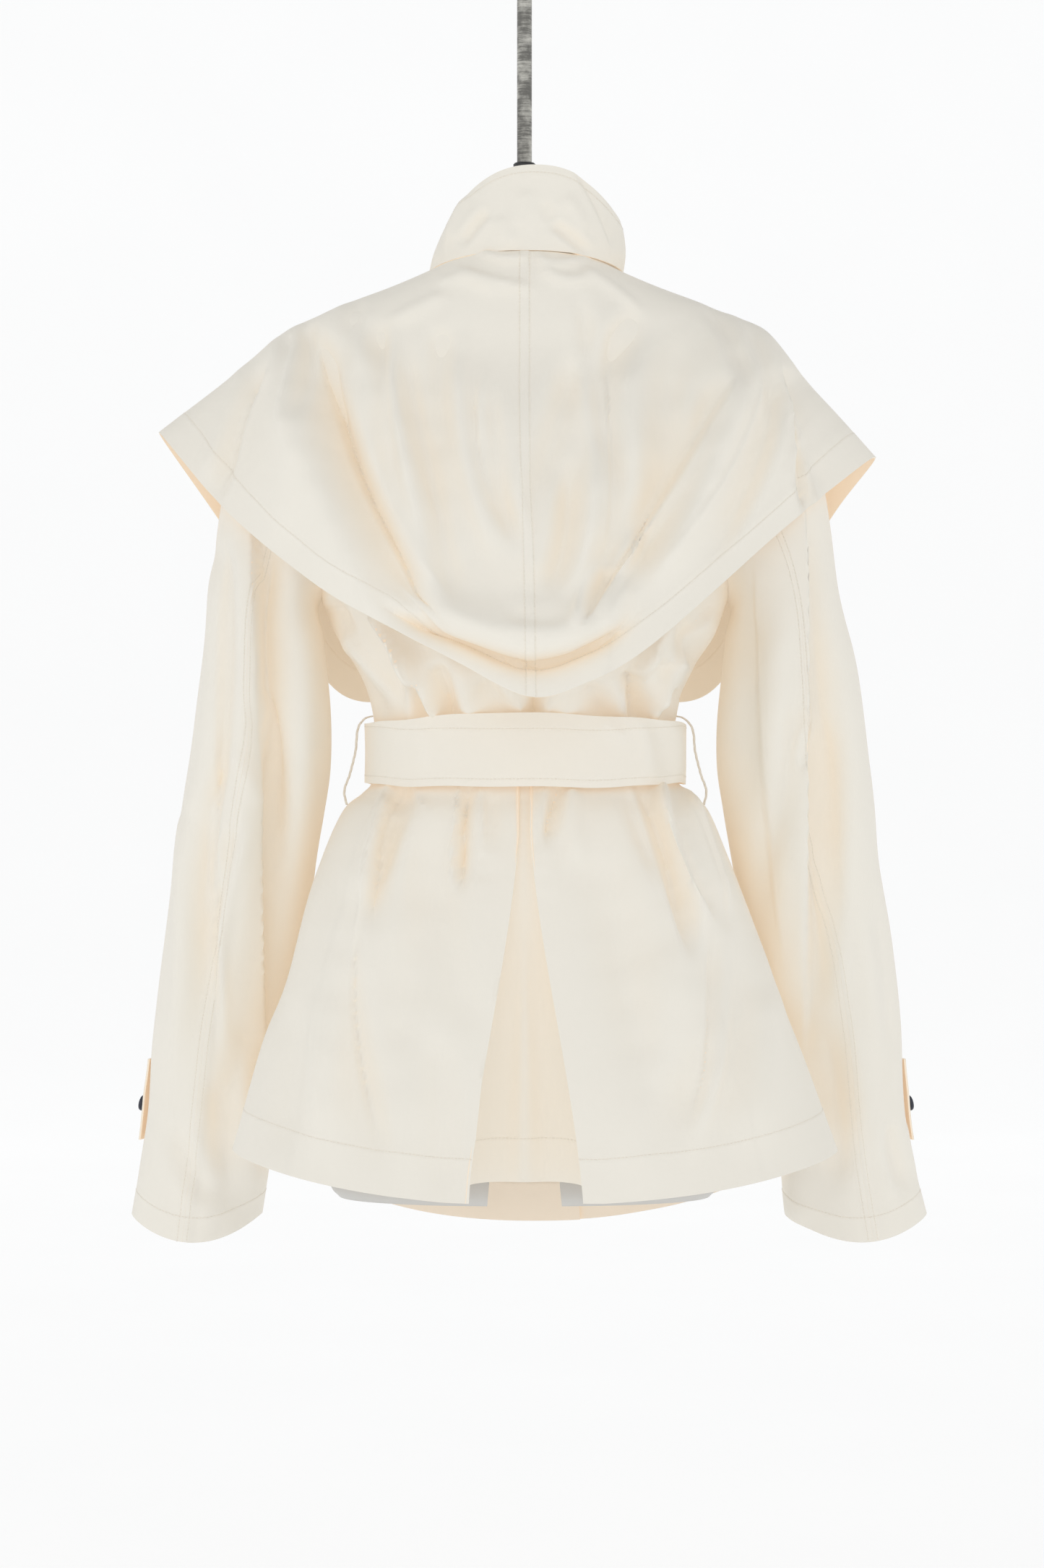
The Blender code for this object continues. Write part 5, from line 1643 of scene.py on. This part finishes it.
def tubeMesh(points, radius, sides=6):
    points = np.asarray(points)
    ahead = np.gradient(points, axis=0)
    ahead = ahead / np.linalg.norm(ahead, axis=-1, keepdims=True)
    first = np.cross(ahead, np.array([0.0, 1.0, 0.0]))
    first = first / np.linalg.norm(first, axis=-1, keepdims=True)
    second = np.cross(ahead, first)
    turn = np.arange(sides) * 2 * math.pi / sides
    rings = points[:, None] + radius * (
        np.cos(turn)[None, :, None] * first[:, None] + np.sin(turn)[None, :, None] * second[:, None]
    )
    vertices = np.concatenate([rings.reshape(-1, 3), points[[0, -1]]])
    return vertices, ringFaces(len(points), sides, capped=True)


def makeLoops():
    print("loops", flush=True)
    look = loopLook
    table = np.array(loopPoints)
    shares = np.linspace(0.0, 1.0, look["points"])
    places = smoothRows(table[:, 0], table[:, 1:], shares) * mm
    for name, sign in (("left", 1.0), ("right", -1.0)):
        x = sign * places[:, 0] + (rightLoopShift * smoothStep(0.0, 0.3, shares) if sign < 0 else 0)
        middle = np.stack([x, np.zeros(len(x)), places[:, 1]], axis=-1)
        strands = []
        for strand in range(look["strands"]):
            turn = shares * look["turns"] + strand * 2 * math.pi / look["strands"]
            around = np.stack([np.cos(turn), np.sin(turn), 0 * turn], axis=-1)
            strands.append(tubeMesh(middle + around * look["layRadius"], look["radius"]))
        loop = meshObject("belt_loop_" + name + "_threads", *joined(strands), threadMaterial)
        carry(loop, "belt_loop_" + name)


def tabSurfaceOf(extraScale, sign):
    # The same strap surface as in the part: across and down
    surface = sleevePoint(extraScale, 0.0)
    drops = -np.array(sleeveRings)[:, 3] * mm
    near = tabCloth["standFrom"]

    def tabSurface(across, down):
        level = np.interp(down - tabTop, drops, np.arange(float(len(drops))))
        spot = surface(sign * across / tabSleeveRadius - tabTurn, level + 1.0)
        away = near + (1 - near) * smoothStep(0.0, 0.5 * tabLength, down)
        spot[..., 0] += tabThickness + tabStandOff * away
        return spot * np.array([sign, 1.0, 1.0])

    return tabSurface


def makeTabs():
    print("tabs and buttons", flush=True)
    look = tabCloth
    edge = look["edge"]
    half = tabWidth / 2
    distances = (edge + look["edgeStep"], edge, edge - look["edgeStep"], 1 * mm, 0.0)
    for side, extraScale, sign in (("left", 0.0, 1.0), ("right", 1.0, -1.0)):
        surface = tabSurfaceOf(extraScale, sign)
        across = np.linspace(-half, half, look["columns"])
        tab = Cloth(surface, across, (0.0, tabLength), look["rows"], distances)
        tab.thickness = tab.thickness + beltTurn
        lines = [tab.rowLine(edge), tab.columnLine(0, edge), tab.columnLine(tab.lastColumn(), -edge)]
        finishPiece("sleeve_tab_" + side, tab, lines, (0.026, 0.068),
                    1.0)
        spot, below, ahead, behind = surface(
            np.array([0.0, 0.0, buttonRadius, -buttonRadius]),
            np.array([buttonDrop, buttonDrop + buttonRadius, buttonDrop, buttonDrop]),
        )
        down = (below - spot) / np.linalg.norm(below - spot)
        forward = ahead - behind - down * (ahead - behind).dot(down)
        forward = forward / np.linalg.norm(forward)
        makeButton(side, spot, np.cross(down, forward), forward, down)


def makeButton(side, spot, out, forward, down):
    # Turned button with a raised rim, a hollow face and a cross of thread
    look = buttonLook
    sides = look["sides"]
    turn = np.arange(sides) * 2 * math.pi / sides
    circle = np.outer(np.cos(turn), forward) + np.outer(np.sin(turn), down)
    rings = [
        spot + out * (buttonGap + buttonThickness * rise) + buttonRadius * scale * circle
        for scale, rise in look["section"]
    ]
    inner = rings[1:-1]
    vertices = np.concatenate(inner + [rings[0][:1], rings[-1][:1]])
    faces = ringFaces(len(inner), sides, capped=True)
    button = meshObject("button_" + side + "_disc", vertices, faces, buttonMaterial)
    carry(button, "button_" + side)
    centre = spot + out * (buttonGap + look["threadAt"] * buttonThickness)
    reach = look["threadReach"] * buttonRadius
    crossed = []
    for a, b in ((1, 1), (1, -1)):
        line = [centre + t * reach * (a * forward + b * down) for t in np.linspace(-1, 1, 7)]
        crossed.append(tubeMesh(line, look["threadRadius"]))
    carry(meshObject("button_" + side + "_thread", *joined(crossed), threadMaterial))


# Rod, cap and form

def turnedObject(name, profile, sides, material, closedEnds):
    # Rings round the Z axis, with flat ends or as a closed ring of their own
    turn = np.arange(sides) * 2 * math.pi / sides
    rings = [
        np.stack([radius * np.cos(turn), radius * np.sin(turn), np.full(sides, height)], axis=-1)
        for radius, height in profile
    ]
    size = len(rings) * sides
    if closedEnds:
        faces = ringFaces(len(rings), sides, flipped=True)
        faces += [tuple(range(sides)), tuple(reversed(range(size - sides, size)))]
    else:
        faces = ringFaces(len(rings) + 1, sides, flipped=True)
        faces = [tuple(corner % size for corner in face) for face in faces]
    shape = meshObject(name, np.concatenate(rings), faces, material)
    shape.data.set_sharp_from_angle(angle=math.radians(40))
    return shape


carrierLook = {
    "rodSides": 64, "capSides": 96, "formSides": 120, "formRows": 150,
    "rodEdge": 0.8 * mm, "capEdge": 0.6 * mm, "edge": 1 * mm,
}


def makeCarrier():
    print("rod, cap and form", flush=True)
    look = carrierLook
    base = formTop + seamGap
    hole = rodRadius + seamGap
    rod = turnedObject("steel_rod", (
        (rodRadius, base), (rodRadius, -look["rodEdge"]), (rodRadius - look["rodEdge"], 0.0),
    ), look["rodSides"], steelMaterial, True)
    cap = turnedObject("neck_cap_disc", (
        (hole, base), (capRadius - look["capEdge"], base), (capRadius, base + look["capEdge"]),
        (capRadius, base + 0.6 * capThickness),
        (capRadius - look["edge"], base + 0.75 * capThickness),
        (0.8 * capRadius, base + capThickness),
        (ferruleRadius + 2 * look["edge"], base + 1.2 * capThickness),
        (ferruleRadius, base + 1.5 * capThickness), (ferruleRadius, ferruleTop - look["edge"]),
        (ferruleRadius - look["edge"], ferruleTop), (hole, ferruleTop),
    ), look["capSides"], capMaterial, False)
    carry(rod, "rod")
    carry(cap, "neck_cap")
    angles = np.arange(look["formSides"]) * 2 * math.pi / look["formSides"]
    levels = np.linspace(0.0, len(formRings) - 1.0, look["formRows"])
    rings = bodyPoint(*np.meshgrid(angles, levels))
    vertices = np.concatenate([rings.reshape(-1, 3), rings[[0, -1]].mean(axis=1)])
    faces = ringFaces(*rings.shape[:2], capped=True, flipped=True)
    form = meshObject("dress_form", vertices, faces, formMaterial)
    cutLegGap(form)
    form.data.set_sharp_from_angle(angle=math.radians(45))
    carry(form, "form")


def cutLegGap(form):
    # A tapered wedge between the form's two ends, open below
    half = legGap / 2
    right = [
        (half, formBottom - legGapPast), (0.9 * half, formBottom + legGapPast),
        (0.35 * half, legGapTop),
    ]
    outline = right + [(-x, z) for x, z in reversed(right)]
    count = len(outline)
    vertices = [(x, y, z) for y in (-legGapReach, legGapReach) for x, z in outline]
    faces = [tuple(range(count)), tuple(reversed(range(count, 2 * count)))]
    for corner in range(count):
        beside = (corner + 1) % count
        faces.append((beside, corner, corner + count, beside + count))
    cutAway(form, meshObject("leg_gap", vertices, faces, formMaterial))


# Stage, light and camera

# Metres and watts; the floor turns up into a wall all round, beyond every view's camera
stageLook = {
    "backdrop": (0.30, 0.30, 0.30), "floor": -1.34, "wall": 6.5, "turn": 2.3, "top": 4.85,
    "turnRings": 16, "sides": 64, "glow": 0.714, "glowColour": (0.992, 0.997, 1.0, 1.0),
    "world": 0.565, "worldColour": (1.0, 0.995, 0.985, 1.0), "aim": (0.0, 0.0, -0.65),
}
# Columns: name, place, power, size
lampTable = (
    ("key", (0.9, 2.8, 0.4), 97.0, 1.8),
    ("fill", (-2.2, 2.0, 0.0), 10.0, 2.2),
)


def makeStage():
    print("stage", flush=True)
    look = stageLook
    profile = [(0.0, look["floor"])]
    for angle in np.linspace(0.0, math.pi / 2, look["turnRings"]):
        radius = look["wall"] + look["turn"] * (math.sin(angle) - 1)
        profile.append((radius, look["floor"] + look["turn"] * (1 - math.cos(angle))))
    profile.append((look["wall"], look["top"]))
    turns = np.arange(look["sides"]) * 2 * math.pi / look["sides"]
    vertices = [
        (radius * math.cos(turn), radius * math.sin(turn), z) for radius, z in profile for turn in turns
    ]
    material = makePaintMaterial("backdrop", look["backdrop"], 0.9, 3.0, 0.0)
    material.cycles.emission_sampling = "NONE"
    shader = material.node_tree.nodes["Principled BSDF"]
    shader.inputs["Emission Color"].default_value = look["glowColour"]
    shader.inputs["Emission Strength"].default_value = look["glow"]
    faces = ringFaces(len(profile), look["sides"])
    meshObject("backdrop", vertices, faces, material)
    world = bpy.data.worlds.new("studio")
    world.use_nodes = True
    ground = world.node_tree.nodes["Background"]
    ground.inputs["Color"].default_value = look["worldColour"]
    ground.inputs["Strength"].default_value = look["world"]
    scene.world = world
    for name, place, power, size in lampTable:
        light = bpy.data.lights.new(name, "AREA")
        light.shape = "DISK"
        light.size = size
        light.energy = power
        lamp = bpy.data.objects.new(name, light)
        lamp.location = place
        lamp.rotation_euler = aimAt(np.array(look["aim"]) - np.array(place))
        scene.collection.objects.link(lamp)


def aimAt(direction):
    # Turns a lamp, which shines down its own Z axis, towards a direction
    x, y, z = direction / np.linalg.norm(direction)
    return (math.acos(max(-1.0, min(1.0, -z))), 0.0, math.atan2(x, -y))


def makeCamera():
    # Level with the middle of the object, as the photograph was taken
    camera = bpy.data.cameras.new("photo_camera")
    camera.lens = 85.0
    camera.sensor_width = 36.0
    camera.clip_start = 0.05
    place = bpy.data.objects.new("photo_camera", camera)
    place.location = (0.002, 3.0, -0.66)
    place.rotation_euler = (math.pi / 2, 0.0, math.pi)
    scene.collection.objects.link(place)
    scene.camera = place


makeCamera()
makeStage()
makeCarrier()
makeBodice()
makeSkirt()
makeSleeves()
makeCollar()
makeBelt()
makeCape()
makeLoops()
makeTabs()
scene.view_settings.view_transform = "Standard"
